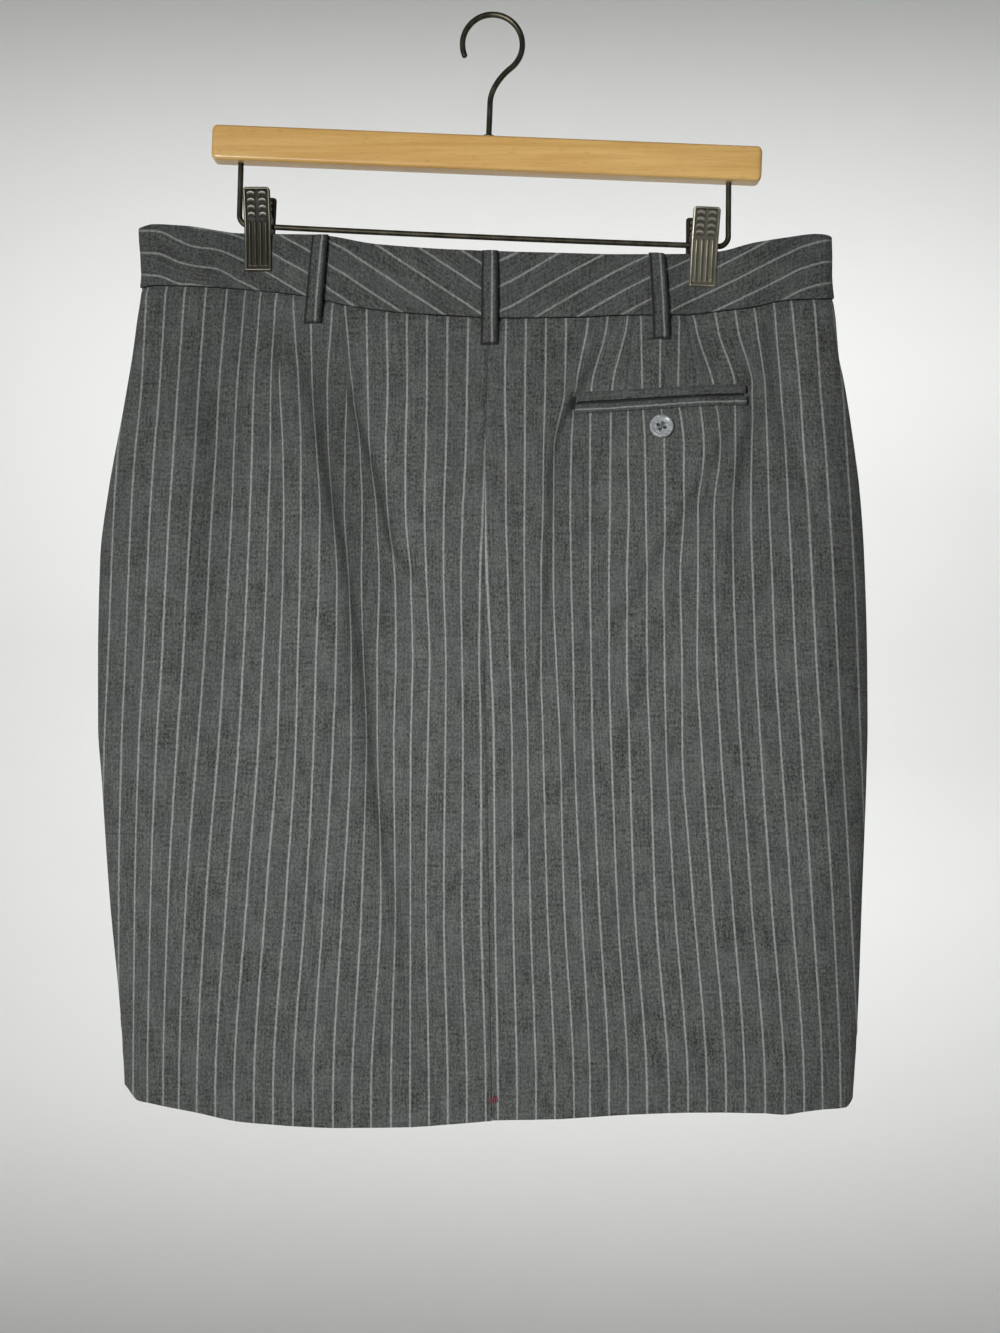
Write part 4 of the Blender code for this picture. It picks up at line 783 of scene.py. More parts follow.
def jaw_steel(name, ground, raised, thumb, rib_shade, rough=(0.34, 0.50)):
    """Pressed plated steel: dark in its hollows, worn bright on the rim, the thumb ribs and the flutes, with painted
    shade on the pad between the thumb ribs.
    UV map "cloth" is the place on the jaw's face, in millimetres from the rod."""
    mat = bpy.data.materials.new(name)
    tree, shader = nodes_of(mat)
    w = Web(tree)
    co = object_coords(w)
    patch = w.noise(w.stretch(co, 170, 170, 110), 1.0, 4.0, 0.6)
    scratch = w.noise(w.stretch(co, 2600, 2600, 160), 1.0, 3.0, 0.6)
    uv = w.node("ShaderNodeUVMap", uv_map="cloth").outputs[0]
    parts = w.node("ShaderNodeSeparateXYZ")
    w.put(parts.inputs[0], uv)
    x, h = parts.outputs[0], parts.outputs[1]
    ax = w.math("ABSOLUTE", x)
    across = w.math("SUBTRACT", ax, 3.55)
    arch = w.math("MULTIPLY_ADD", w.math("MULTIPLY", across, across), 0.13, h)
    turn = w.math("FRACT", w.math("ADD", w.math("MULTIPLY", w.math("SUBTRACT", arch, 17.2), 1 / 3.9), 0.5))
    near = w.math("MULTIPLY", w.math("ABSOLUTE", w.math("SUBTRACT", turn, 0.5)), 3.9)
    rib = w.math("MULTIPLY", w.ramp(near, 1.25, 0.45), w.ramp(w.math("ABSOLUTE", across), 2.7, 2.0))
    rib = w.math("MULTIPLY", rib, w.math("MULTIPLY", w.ramp(h, 2.9, 3.6), w.ramp(h, 18.9, 18.3)))
    place_x = w.math("MULTIPLY", w.math("ABSOLUTE", w.math("SUBTRACT", w.math("FRACT", w.math("MULTIPLY", x, 1 / 3.4)), 0.5)), 3.4)
    flute = w.math("MULTIPLY", w.ramp(place_x, 1.15, 0.35), w.math("MULTIPLY", w.ramp(h, 1.8, 0.4), w.ramp(h, -25.8, -24.8)))
    edge = w.math("MINIMUM", w.math("MINIMUM", w.math("SUBTRACT", CLIP_W, ax), w.math("ADD", h, 28.6)),
                  w.math("SUBTRACT", 20.2, h))
    mask = w.math("MAXIMUM", w.math("MAXIMUM", rib, flute), w.ramp(edge, 1.8, 1.1))
    mask = w.math("MULTIPLY", mask, w.ramp(w.math("MULTIPLY_ADD", scratch, 0.4, patch), 0.45, 0.95, 0.62, 1.0))
    colour = w.mix(mask, ground, raised)
    # painted shade: the thumb pad's ground between the ribs is darkened
    pad = w.math("MULTIPLY", w.ramp(w.math("ABSOLUTE", across), 3.1, 2.4),
                 w.math("MULTIPLY", w.ramp(h, 2.6, 3.4), w.ramp(h, 19.2, 18.6)))
    colour = w.mix(w.math("MULTIPLY", pad, w.ramp(rib, 0.45, 0.05)), colour, rib_shade)
    colour = w.mix(rib, colour, thumb)
    colour = w.mix(w.math("MULTIPLY", w.ramp(scratch, 0.55, 0.75), 0.12), colour, raised)
    w.put(shader.inputs["Base Color"], colour)
    w.put(shader.inputs["Metallic"], w.ramp(mask, 0.0, 0.7, 0.35, 0.88))
    w.put(shader.inputs["Roughness"], w.math("ADD", w.ramp(patch, 0.3, 0.7, rough[0], rough[1]), w.ramp(mask, 0.0, 0.7, 0.18, 0.0)))
    w.put(shader.inputs["Normal"], w.bump(w.math("ADD", scratch, w.math("MULTIPLY", patch, 0.7)), 0.18, 0.00015))
    return mat


def wood(name):
    """Clear-varnished beech, grain along X."""
    mat = bpy.data.materials.new(name)
    tree, shader = nodes_of(mat)
    w = Web(tree)
    co = object_coords(w)
    broad = w.noise(w.stretch(co, 5.0, 85, 85), 1.0, 4.0, 0.6, 0.8)
    streak = w.noise(w.stretch(co, 14.0, 420, 420), 1.0, 3.0, 0.65)
    fleck = w.noise(w.stretch(co, 130.0, 1500, 1500), 1.0, 1.0, 0.5)
    fac = w.math("MULTIPLY_ADD", streak, 0.45, w.math("MULTIPLY", broad, 0.7))
    colour = w.mix(w.ramp(fac, 0.38, 0.80), (0.93, 0.61, 0.225), (0.76, 0.42, 0.118))
    colour = w.mix(w.math("MULTIPLY", w.ramp(fleck, 0.60, 0.74), 0.35), colour, (0.42, 0.20, 0.065))
    w.put(shader.inputs["Base Color"], colour)
    w.put(shader.inputs["Roughness"], w.ramp(streak, 0.3, 0.7, 0.30, 0.42))
    shader.inputs["Coat Weight"].default_value = 0.35
    shader.inputs["Coat Roughness"].default_value = 0.18
    w.put(shader.inputs["Normal"], w.bump(w.math("ADD", streak, w.math("MULTIPLY", fleck, 0.5)), 0.22, 0.0002))
    return mat


def pearl(name):
    """Grey shell-effect button: cloudy layers and a polish."""
    mat = bpy.data.materials.new(name)
    tree, shader = nodes_of(mat)
    w = Web(tree)
    co = object_coords(w)
    swirl = w.noise(w.stretch(co, 260, 260, 420), 1.0, 4.0, 0.6, 1.6)
    fine = w.noise(w.stretch(co, 1500, 1500, 1500), 1.0, 2.0, 0.5)
    colour = w.mix(w.ramp(swirl, 0.35, 0.68), (0.175, 0.192, 0.205), (0.43, 0.455, 0.465))
    colour = w.mix(w.math("MULTIPLY", fine, 0.15), colour, (0.48, 0.50, 0.50))
    w.put(shader.inputs["Base Color"], colour)
    w.put(shader.inputs["Roughness"], w.ramp(swirl, 0.3, 0.7, 0.20, 0.34))
    shader.inputs["Coat Weight"].default_value = 0.4
    shader.inputs["Coat Roughness"].default_value = 0.12
    w.put(shader.inputs["Normal"], w.bump(fine, 0.05, 0.0001))
    return mat


def thread(name, colour, light):
    mat = bpy.data.materials.new(name)
    tree, shader = nodes_of(mat)
    w = Web(tree)
    co = object_coords(w)
    twist = w.noise(w.stretch(co, 3000, 3000, 3000), 1.0, 2.0, 0.5)
    w.put(shader.inputs["Base Color"], w.mix(twist, colour, light))
    w.put(shader.inputs["Roughness"], w.ramp(twist, 0.3, 0.7, 0.55, 0.75))
    shader.inputs["Sheen Weight"].default_value = 0.2
    w.put(shader.inputs["Normal"], w.bump(twist, 0.4, 0.0001))
    return mat


def cotton(name):
    """Dark pocketing, darkened further to near black as painted shade for the inside of the pocket's slit: a plain
    fine weave.
    """
    mat = bpy.data.materials.new(name)
    tree, shader = nodes_of(mat)
    w = Web(tree)
    uv = w.node("ShaderNodeUVMap", uv_map="cloth").outputs[0]
    parts = w.node("ShaderNodeSeparateXYZ")
    w.put(parts.inputs[0], uv)
    a = w.math("SINE", w.math("MULTIPLY", parts.outputs[0], 2 * math.pi / 0.7))
    b = w.math("SINE", w.math("MULTIPLY", parts.outputs[1], 2 * math.pi / 0.7))
    weave = w.math("MULTIPLY", a, b)
    slub = w.noise(w.stretch(uv, 0.5, 0.08), 1.0, 2.0)
    w.put(shader.inputs["Base Color"], w.mix(w.ramp(w.math("MULTIPLY_ADD", weave, 0.12, slub), 0.3, 0.8),
                                             (0.010, 0.011, 0.012), (0.024, 0.026, 0.028)))
    w.put(shader.inputs["Roughness"], w.ramp(slub, 0.3, 0.7, 0.8, 0.95))
    w.put(shader.inputs["Normal"], w.bump(weave, 0.3, 0.0001))
    return mat


WOOL = wool("wool_stripe")
# the band's colours are dimmed to 0.90: painted shade for the light falling off towards the top of the skirt
WOOL_BAND = wool("wool_band", shade=0.90)
WOOL_PLAIN = wool("wool_plain", stripes=False, shade=0.92)
# the belt loops' cloth carries painted shade along its edges and at its foot
WOOL_LOOP = wool("wool_loop", stripes=False, only=(1.5, 0.74), shade=0.92, painted_edge_shade=(2.7, 4.5))
WOOL_WELT = wool("wool_welt", stripes=False, only=(0.0, 0.56), shade=0.84)
# the pocketing's near-black colour is partly painted shade for the pocket's slit
POCKETING = cotton("pocketing")
BRONZE = metal("bronze_metal", (0.070, 0.064, 0.044), (0.170, 0.156, 0.112))
BRONZE_WORN = metal("bronze_worn", (0.150, 0.141, 0.104), (0.330, 0.312, 0.250), rough=(0.28, 0.42))
BRONZE_WIRE = metal("bronze_wire", (0.045, 0.042, 0.028), (0.110, 0.101, 0.072), rough=(0.44, 0.58))
# the fourth colour of each jaw steel is painted shade between the thumb ribs
JAW_DARK = jaw_steel("jaw_dark", (0.018, 0.016, 0.011), (0.140, 0.133, 0.102), (0.42, 0.41, 0.35), (0.012, 0.011, 0.008))
JAW_WORN = jaw_steel("jaw_worn", (0.092, 0.084, 0.056), (0.430, 0.412, 0.335), (0.62, 0.60, 0.52), (0.050, 0.046, 0.032), rough=(0.32, 0.46))
BEECH = wood("beech")
PEARL = pearl("button_pearl")
THREAD_DARK = thread("thread_dark", (0.035, 0.038, 0.040), (0.10, 0.105, 0.11))
THREAD_RED = thread("thread_red", (0.17, 0.018, 0.035), (0.30, 0.055, 0.085))
THREAD_GREY = thread("thread_grey", (0.075, 0.081, 0.083), (0.16, 0.168, 0.17))
THREAD_BLACK = thread("thread_black", (0.006, 0.006, 0.006), (0.020, 0.020, 0.020))


def finish_piece(obj, mat, node):
    obj.data.materials.clear()
    obj.data.materials.append(mat)
    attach(obj, "root")
    if node:
        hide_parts(*([node] if isinstance(node, str) else node))
    return obj


# =============================================================== back panels
def grain_curves(table):
    """Each stripe as a curve, run on straight above and below its table."""
    out = {}
    for n, row in table.items():
        rows = [(z, x) for z, x in zip(GRAIN_HEIGHTS, row) if x is not None]
        (z0, x0), (z1, x1) = rows[0], rows[1]
        rows.append((z0 + 60.0, x0 + np.clip((x0 - x1) / (z0 - z1), -0.12, 0.12) * 60.0))
        rows.append((rows[-2][0] - 40.0, rows[-2][1]))
        out[n] = curve(rows, 1)
    return out


GRAIN = {-1: grain_curves(GRAIN_LEFT), 1: grain_curves(GRAIN_RIGHT)}
GRAIN_FROM = {side: {n: 0.0 if row[0] is not None else max(z for z, x in zip(GRAIN_HEIGHTS, row) if x is not None)
                     for n, row in (GRAIN_LEFT if side < 0 else GRAIN_RIGHT).items()} for side in (-1, 1)}


def dart_line(side, k):
    """Place of a dart's seam, running on down the stripe it ends on."""
    stripe, x0, z0, x1, z1, _, _ = DARTS[side][k]
    rows = [(z0, x0), (z1, x1)]
    rows += [(z, float(GRAIN[side][stripe](z))) for z in GRAIN_HEIGHTS if z < z1 - 30]
    rows.append((-125.0, x0 + (x0 - x1) / (z0 - z1) * (-125.0 - z0)))
    rows.append((-718.0, rows[-2][1]))
    return curve(rows)


def stripe_at(side, section, x, z):
    """Cloth coordinate in repeats from the centre seam; section 0, 1, 2 counts outwards past the darts."""
    take_l, take_r = curve(CENTRE_TAKE, 1), curve(CENTRE_TAKE, 2)
    xs, us = [], []
    ones = np.ones_like(z)
    if section == 0:
        xs.append(centre_back(z))
        us.append((take_l if side < 0 else take_r)(z))
    for k in (0, 1):
        stripe, x0, z0, x1, z1, inner, outer = DARTS[side][k]
        share = np.clip((z - z1) / (z0 - z1), 0.0, 1.3)
        line = DART_LINES[side][k](z)
        if section == k:
            xs.append(line)
            us.append(stripe - inner * share)
        if section == k + 1:
            xs.append(line)
            us.append(stripe + outer * share)
    first, last = ((0, 8), (8, 12), (12, 99))[section]
    for n, c in GRAIN[side].items():
        if first < n < last or (n == 0 and section == 0):
            x_n = c(z)
            shown = z <= GRAIN_FROM[side][n] + 4.0
            xs.append(np.where(shown, x_n, np.nan))
            us.append(n * ones)
    X, Uv = np.stack(xs, -1) * side, np.stack(us, -1)
    out = np.empty(x.shape)
    flat_x, flat_out = (x * side).reshape(-1), out.reshape(-1)
    X, Uv = X.reshape(-1, X.shape[-1]), Uv.reshape(-1, Uv.shape[-1])
    for i in range(len(flat_x)):
        ok = ~np.isnan(X[i])
        a, b = X[i][ok], Uv[i][ok]
        order = np.argsort(a, kind="stable")
        a, b = a[order], b[order]
        t = flat_x[i]
        if t < a[0]:
            flat_out[i] = b[0] - (a[0] - t) / PITCH
        elif t > a[-1]:
            flat_out[i] = b[-1] + (t - a[-1]) / (10.9 if section == 2 else PITCH)
        else:
            flat_out[i] = np.interp(t, a, b)
    return out


DART_LINES = {side: [dart_line(side, 0), dart_line(side, 1)] for side in (-1, 1)}


def back_panel(side, word, spacing=1.65, row_step=2.5):
    face = -1
    keys = [lambda z: centre_back(z) + side * 0.18, DART_LINES[side][0], DART_LINES[side][1],
            lambda z: fold_line[side](z) - side * FOLD_R]
    # column plan: (section, share) with the fold's rounding last
    z_mid = np.array(-420.0)
    plan = []
    for s in range(3):
        width = abs(float(keys[s + 1](z_mid)) - float(keys[s](z_mid)))
        n = max(4, int(round((width - 5.2) / spacing)))
        near = [0.0, 0.7 / width, 1.5 / width]
        inside = [2.6 / width + (1.0 - 5.2 / width) * i / n for i in range(n + 1)]
        plan += [(s, t) for t in near + inside + [1.0 - 1.5 / width, 1.0 - 0.7 / width]]
    turn = [(3, a) for a in np.linspace(0, 1, 9)]
    plan += turn
    C = len(plan)

    def across(j, z):
        s, t = plan[j]
        if s < 3:
            return keys[s](z) * (1 - t) + keys[s + 1](z) * t
        edge = fold_line[side](z)
        return edge - side * FOLD_R * (1.0 - math.sin(t * math.pi / 2))
    # rows: closer under the waist seam, at the pocket and over the hem
    heights = [0.0]
    while heights[-1] < 512.0:
        h = heights[-1]
        step = row_step
        if h < 6.0:
            step = 0.9
        elif side > 0 and 42.0 < h < 76.0:
            step = 1.1
        elif h > 470.0:
            step = 1.9
        heights.append(h + step)
    rows = np.array(heights) / heights[-1]
    R = len(rows)
    X, Z = np.zeros((R, C)), np.zeros((R, C))
    for j in range(C):
        z0 = z1 = None
        a, b = -188.0, -700.0
        for _ in range(8):
            a = float(waist[face](across(j, np.array(a)))) - 0.25
            b = float(hem[face](across(j, np.array(b))))
        z = a + (b - a) * rows
        Z[:, j] = z
        X[:, j] = across(j, z)
    P = place(face, X, Z)
    # fine form: pucker under the waist seam, seam grooves, vent edge, hem turn-up
    below = np.stack([waist[face](X[:, j]) - Z[:, j] for j in range(C)], 1)
    to_hem = np.stack([Z[:, j] - hem[face](X[:, j]) for j in range(C)], 1)
    d = np.zeros((R, C))
    d += 0.28 * value_noise(X / 6.5, Z / 14, 51) * np.exp(-below / 14)
    d -= 1.7 * np.exp(-(below / 3.0) ** 2)
    cb = np.abs(X - centre_back(Z))
    seam = np.where(Z > VENT_TOP, 1.0, 0.0)
    d -= seam * (1.0 * np.exp(-(cb / 1.0) ** 2)) - seam * 0.15 * np.exp(-((cb - 4.0) / 3.0) ** 2)
    d += seam * 0.22 * value_noise(X / 9, Z / 11, 52) * np.exp(-cb / 8)
    d -= seam * 0.5 * np.exp(-((X - centre_back(Z) - 1.0) / 3.4) ** 2) * smooth((-392.0 - Z) / 24.0)
    for k in (0, 1):
        tip = DARTS[side][k][4]
        on = smooth((Z - tip + 6.0) / 8.0)
        off = np.abs(X - DART_LINES[side][k](Z))
        d -= on * 0.65 * np.exp(-(off / 1.1) ** 2)
        d -= 0.9 * np.exp(-((off / 9.0) ** 2 + ((Z - tip + 10.0) / 14.0) ** 2))
    d += 0.30 * np.exp(-((to_hem - 36.0) / 2.2) ** 2) * smooth((40 - np.abs(X) * 0 - 0) / 40)
    d += 0.16 * value_noise(X / 8, Z / 8, 53) * smooth((44.0 - to_hem) / 8.0)
    N = grid_normals(P, face)
    if side > 0:        # drawn in round the pocket, most at its ends
        (xa, za), (xb, zb) = pocket_lay
        mid = slit_lay(X) + 0.2
        off = np.maximum(np.maximum(xa - X, X - xb), np.abs(Z - mid) - 6.2)
        d -= 0.75 * np.exp(-((off - 0.4) / 1.5) ** 2)
        for xe, ze in pocket_lay:
            d -= 1.8 * np.exp(-((X - xe) / 5.0) ** 2 - ((Z - ze) / 7.5) ** 2)
        # and under the button's edge, where its thread pulls
        d -= 0.9 * np.exp(-((np.hypot(X - 104.0, Z + 264.1) - 6.6) / 2.0) ** 2)
    if side < 0:
        d += 0.22 * smooth((VENT_TOP - Z) / 10.0) * np.exp(-(cb / 26.0) ** 4)
    else:
        d -= 0.42 * smooth((VENT_TOP - Z) / 10.0) * np.exp(-(cb / 16.0) ** 4)
    P = P + N * d[..., None]
    N = grid_normals(P, face)
    N[:, -1] = np.array([side, 0.0, 0.0])
    N[:, -2] = N[:, -2] + 1.5 * np.array([side, 0.0, 0.0])
    N[:, -2] /= np.linalg.norm(N[:, -2], axis=-1, keepdims=True)
    # cloth coordinates, cell by cell, so that darts break the stripes
    UA, UB = np.zeros((R, C - 1)), np.zeros((R, C - 1))
    sect = [min(p[0], 2) for p in plan]
    U_by_section = [None, None, None]
    for s in range(3):
        cols = [j for j in range(C) if sect[j] == s or (j > 0 and sect[j - 1] == s)]
        vals = np.full((R, C), np.nan)
        vals[:, cols] = stripe_at(side, s, X[:, cols], Z[:, cols])
        U_by_section[s] = vals
    for j in range(C - 1):
        UA[:, j] = U_by_section[sect[j]][:, j]
        UB[:, j] = U_by_section[sect[j]][:, j + 1]
    if side < 0:        # cut from another place in the cloth
        UA, UB = UA + 37.0, UB + 37.0
    U = np.concatenate([UA, UB[:, -1:]], 1)
    V = -Z * 1.012
    thick_in = PANEL_T / 2 + 0.9 * smooth((37.5 - to_hem) / 1.6)
    mask = None
    if side > 0:
        xs, zs = (X[:-1, :-1] + X[1:, 1:]) / 2, (Z[:-1, :-1] + Z[1:, 1:]) / 2
        mask = ~((xs > pocket_lay[0][0] + 1.5) & (xs < pocket_lay[1][0] - 1.5) & (np.abs(zs - slit_lay(xs)) < 2.6))
    obj = shell(f"cloth_back_{word}", P, N, PANEL_T / 2, thick_in, U * PITCH, V, mask=mask,
                ends=(UA * PITCH, UB * PITCH), ext=(0.1, 0.05, 0.7, 0.1 if side > 0 else 0.1))
    finish_piece(obj, WOOL, f"back_{word}")
    return obj, P


def slit(x):
    t = (x - POCKET_X[0]) / (POCKET_X[1] - POCKET_X[0])
    return -248.4 + 5.0 * t


pocket_lay = [layout(-1, POCKET_X[0], slit(POCKET_X[0])), layout(-1, POCKET_X[1], slit(POCKET_X[1]))]
pocket_lay = [(float(a), float(b)) for a, b in pocket_lay]


def slit_lay(x):
    (x0, z0), (x1, z1) = pocket_lay
    return z0 + (z1 - z0) * (x - x0) / (x1 - x0)


back_left, P_left = back_panel(-1, "left")
back_right, P_right = back_panel(1, "right")


# =============================================================== front panels
def front_panel(side, word, spacing=2.2, row_step=3.2):
    face = 1
    centre = -3.0
    dart_top, dart_low, dart_tip, dart_take = FRONT_DARTS[side]
    dart = curve([(-180, dart_top), (dart_tip, dart_low), (-718, dart_low * 0.97)])
    keys = [lambda z: centre + side * 0.18 + 0 * z, dart, lambda z: fold_line[side](z) - side * FOLD_R]
    plan = []
    for s in range(2):
        width = abs(float(keys[s + 1](np.array(-420.0))) - float(keys[s](np.array(-420.0))))
        n = int(round(width / spacing))
        plan += [(s, i / n) for i in range(n)]
    plan += [(2, a) for a in np.linspace(0, 1, 8)]
    C = len(plan)

    def across(j, z):
        s, t = plan[j]
        if s < 2:
            return keys[s](z) * (1 - t) + keys[s + 1](z) * t
        return fold_line[side](z) - side * FOLD_R * (1.0 - math.sin(t * math.pi / 2))
    R = int(round(505.0 / row_step)) + 1
    rows = np.linspace(0, 1, R)
    X, Z = np.zeros((R, C)), np.zeros((R, C))
    for j in range(C):
        a, b = -195.0, -690.0
        for _ in range(8):
            a = float(waist[face](across(j, np.array(a)))) - 0.25
            b = float(hem[face](across(j, np.array(b))))
        Z[:, j] = a + (b - a) * rows
        X[:, j] = across(j, Z[:, j])
    P = place(face, X, Z)
    below = waist[face](X) - Z
    to_hem = Z - hem[face](X)
    d = 0.28 * value_noise(X / 6.5, Z / 14, 61 + side) * np.exp(-below / 14) - 0.5 * np.exp(-(below / 1.8) ** 2)
    cf = np.abs(X - centre)
    d -= 0.5 * np.exp(-(cf / 1.6) ** 2)
    off = np.abs(X - dart(Z))
    d -= smooth((Z - dart_tip + 6.0) / 8.0) * 0.42 * np.exp(-(off / 1.6) ** 2)
    d -= 0.8 * np.exp(-((off / 9.0) ** 2 + ((Z - dart_tip + 10.0) / 14.0) ** 2))
    d += 0.30 * np.exp(-((to_hem - 36.0) / 2.6) ** 2)
    d += 0.16 * value_noise(X / 8, Z / 8, 63 + side) * smooth((44.0 - to_hem) / 8.0)
    if side > 0:        # the fly's edge stands over the left front, and its stitching dents it
        fly = 28.0 * np.sqrt(np.clip(1 - (np.clip(-Z - 196.0 - 120.0, 0, None) / 42.0) ** 2, 0, 1)) * (Z > -362)
        d += 0.7 * np.exp(-(cf / 20.0) ** 4) * smooth((Z + 372.0) / 20.0)
        d -= 0.28 * np.exp(-((cf - fly) / 1.6) ** 2) * smooth((Z + 362.0) / 6.0)
    N = grid_normals(P, face)
    P = P + N * d[..., None]
    N = grid_normals(P, face)
    N[:, -1] = np.array([side, 0.0, 0.0])
    N[:, -2] = N[:, -2] + 1.5 * np.array([side, 0.0, 0.0])
    N[:, -2] /= np.linalg.norm(N[:, -2], axis=-1, keepdims=True)
    arc = np.concatenate([np.zeros((R, 1)), np.cumsum(np.linalg.norm(np.diff(P, axis=1), axis=-1), axis=1)], 1)
    arc = blur(arc, 3.0, 0.8)
    take = dart_take * PITCH * np.clip((Z[:, :1] - dart_tip) / (-193.0 - dart_tip), 0.0, 1.3)
    past = np.array([1.0 if p[0] >= 1 else 0.0 for p in plan])[None, :]
    U0 = arc + 0.5 * PITCH
    UA = (U0 + take * past)[:, :-1]
    UB = U0[:, 1:] + take * past[:, :-1]
    U = U0 + take * past
    thick_in = PANEL_T / 2 + 0.9 * smooth((37.5 - to_hem) / 1.6)
    obj = shell(f"cloth_front_{word}", P, N, PANEL_T / 2, thick_in, U, -Z * 1.01, ends=(UA, UB),
                ext=(0.1, 0.05, 0.7, 0.1))
    finish_piece(obj, WOOL, f"front_{word}")
    return obj


front_left = front_panel(-1, "left")
front_right = front_panel(1, "right")


# =============================================================== waistband
def lap_out(x):
    return (BAND_T + 0.35) * (1.0 - smooth((x - 1.0) / 15.0))


LAP = 37.0


def band(face, side, word, rows=22, spacing=1.7):
    centre = -2.4 if face < 0 else -3.0
    lap = face > 0 and side > 0
    z_ref = -165.0
    edge = fold_line[side](np.array(z_ref)) - side * FOLD_R
    start = centre + side * 0.18
    if lap:
        start = -LAP
    n = int(round(abs(float(edge) - start) / spacing))
    plan = [(0, i / n) for i in range(n)] + [(1, a) for a in np.linspace(0, 1, 9)]
    C = len(plan)

    def across(j, z):
        s, t = plan[j]
        e = fold_line[side](z) - side * FOLD_R
        if s == 0:
            return start * (1 - t) + e * t
        return fold_line[side](z) - side * FOLD_R * (1.0 - math.sin(t * math.pi / 2))
    X, Z = np.zeros((rows, C)), np.zeros((rows, C))
    for j in range(C):
        a, b = -145.0, -185.0
        for _ in range(8):
            a = float(band_top[face](across(j, np.array(a)))) - 1.0
            b = float(waist[face](across(j, np.array(b)))) + 0.25
        z = a + (b - a) * np.linspace(0, 1, rows)
        Z[:, j] = z
        X[:, j] = across(j, z)
    P = place(face, X, Z)
    t = np.linspace(0, 1, rows)[:, None]
    N = grid_normals(P, face)
    bulge = 0.35 * np.sin(math.pi * t) + 0.45 * smooth((t - 0.75) / 0.22) + 0.25 * value_noise(X / 18, Z / 22, 71 + 3 * face + side)
    bulge = bulge + 0.10 * value_noise(X / 6, Z / 9, 75 + side)
    bulge = bulge * (1.0 - 0.7 * pinch(X, Z))
    P = P + N * bulge[..., None]
    if lap:
        P = P + N * lap_out(X)[..., None]
    N = grid_normals(P, face)
    N[:, -1] = np.array([side, 0.0, 0.0])
    N[:, -2] = N[:, -2] + 1.5 * np.array([side, 0.0, 0.0])
    N[:, -2] /= np.linalg.norm(N[:, -2], axis=-1, keepdims=True)
    # bias stripes: U across them, V along them
    table = BAND_LEFT if side < 0 else BAND_RIGHT
    ref, gap = curve(table, 1), curve(table, 2)
    xs = X if face < 0 else X
    u = (ref(xs) - Z) / gap(xs)
    v = X * 1.15
    ext = (1.05, 0.05, 0.12, 1.0 if lap else 0.1)
    name = {-1: "back", 1: "front"}[face]
    obj = shell(f"band_{name}_{word}_cloth", P, N, BAND_T / 2, BAND_T / 2, u * PITCH, v, ext=ext, steps=6)
    finish_piece(obj, WOOL_BAND, f"band_{name}_{word}")
    return obj


for face_, side_, word_ in ((-1, -1, "left"), (-1, 1, "right"), (1, -1, "left"), (1, 1, "right")):
    band(face_, side_, word_)


# =============================================================== inner layers
def back_world(x, z):
    """World point and normal of the back's middle surface at world place x, height z."""
    xp, zp = layout(-1, x, z)
    return place(-1, xp, zp), normal_at(-1, xp, zp), xp, zp


def underlap():
    rows, cols = 62, 28
    x = np.linspace(-38.0, 10.0, cols)[None, :] * np.ones((rows, 1))
    top, low = VENT_TOP, -694.0
    z = np.linspace(0, 1, rows)[:, None] * (low - top) + top + 0 * x
    P, N, xp, zp = back_world(x, z)
    P = P - N * (PANEL_T / 2 + 0.9 + 0.35 + PANEL_T / 2 + 0.75)
    N = grid_normals(P, -1)
    U = np.where(xp > centre_back(zp), 0, 0) + (xp - centre_back(zp)) + PITCH * 0.33
    obj = shell("vent_underlap_cloth", P, N, PANEL_T / 2, PANEL_T / 2, U, -zp, ext=(0.1, 0.4, 0.6, 0.4))
    finish_piece(obj, WOOL, "vent_underlap")


underlap()


def pocket_bag():
    rows, cols = 36, 40
    x = np.linspace(44.0, 163.0, cols)[None, :] * np.ones((rows, 1))
    z = np.linspace(-237.0, -345.0, rows)[:, None] + 0 * x
    P, N, xp, zp = back_world(x, z)
    P = P - N * (PANEL_T / 2 + 1.2)
    N = grid_normals(P, -1)
    obj = shell("pocket_bag_cloth", P, N, 0.45, 0.45, x, -z, ext=(0.2, 0.2, 0.2, 0.2))
    finish_piece(obj, POCKETING, "pocket_bag")


pocket_bag()


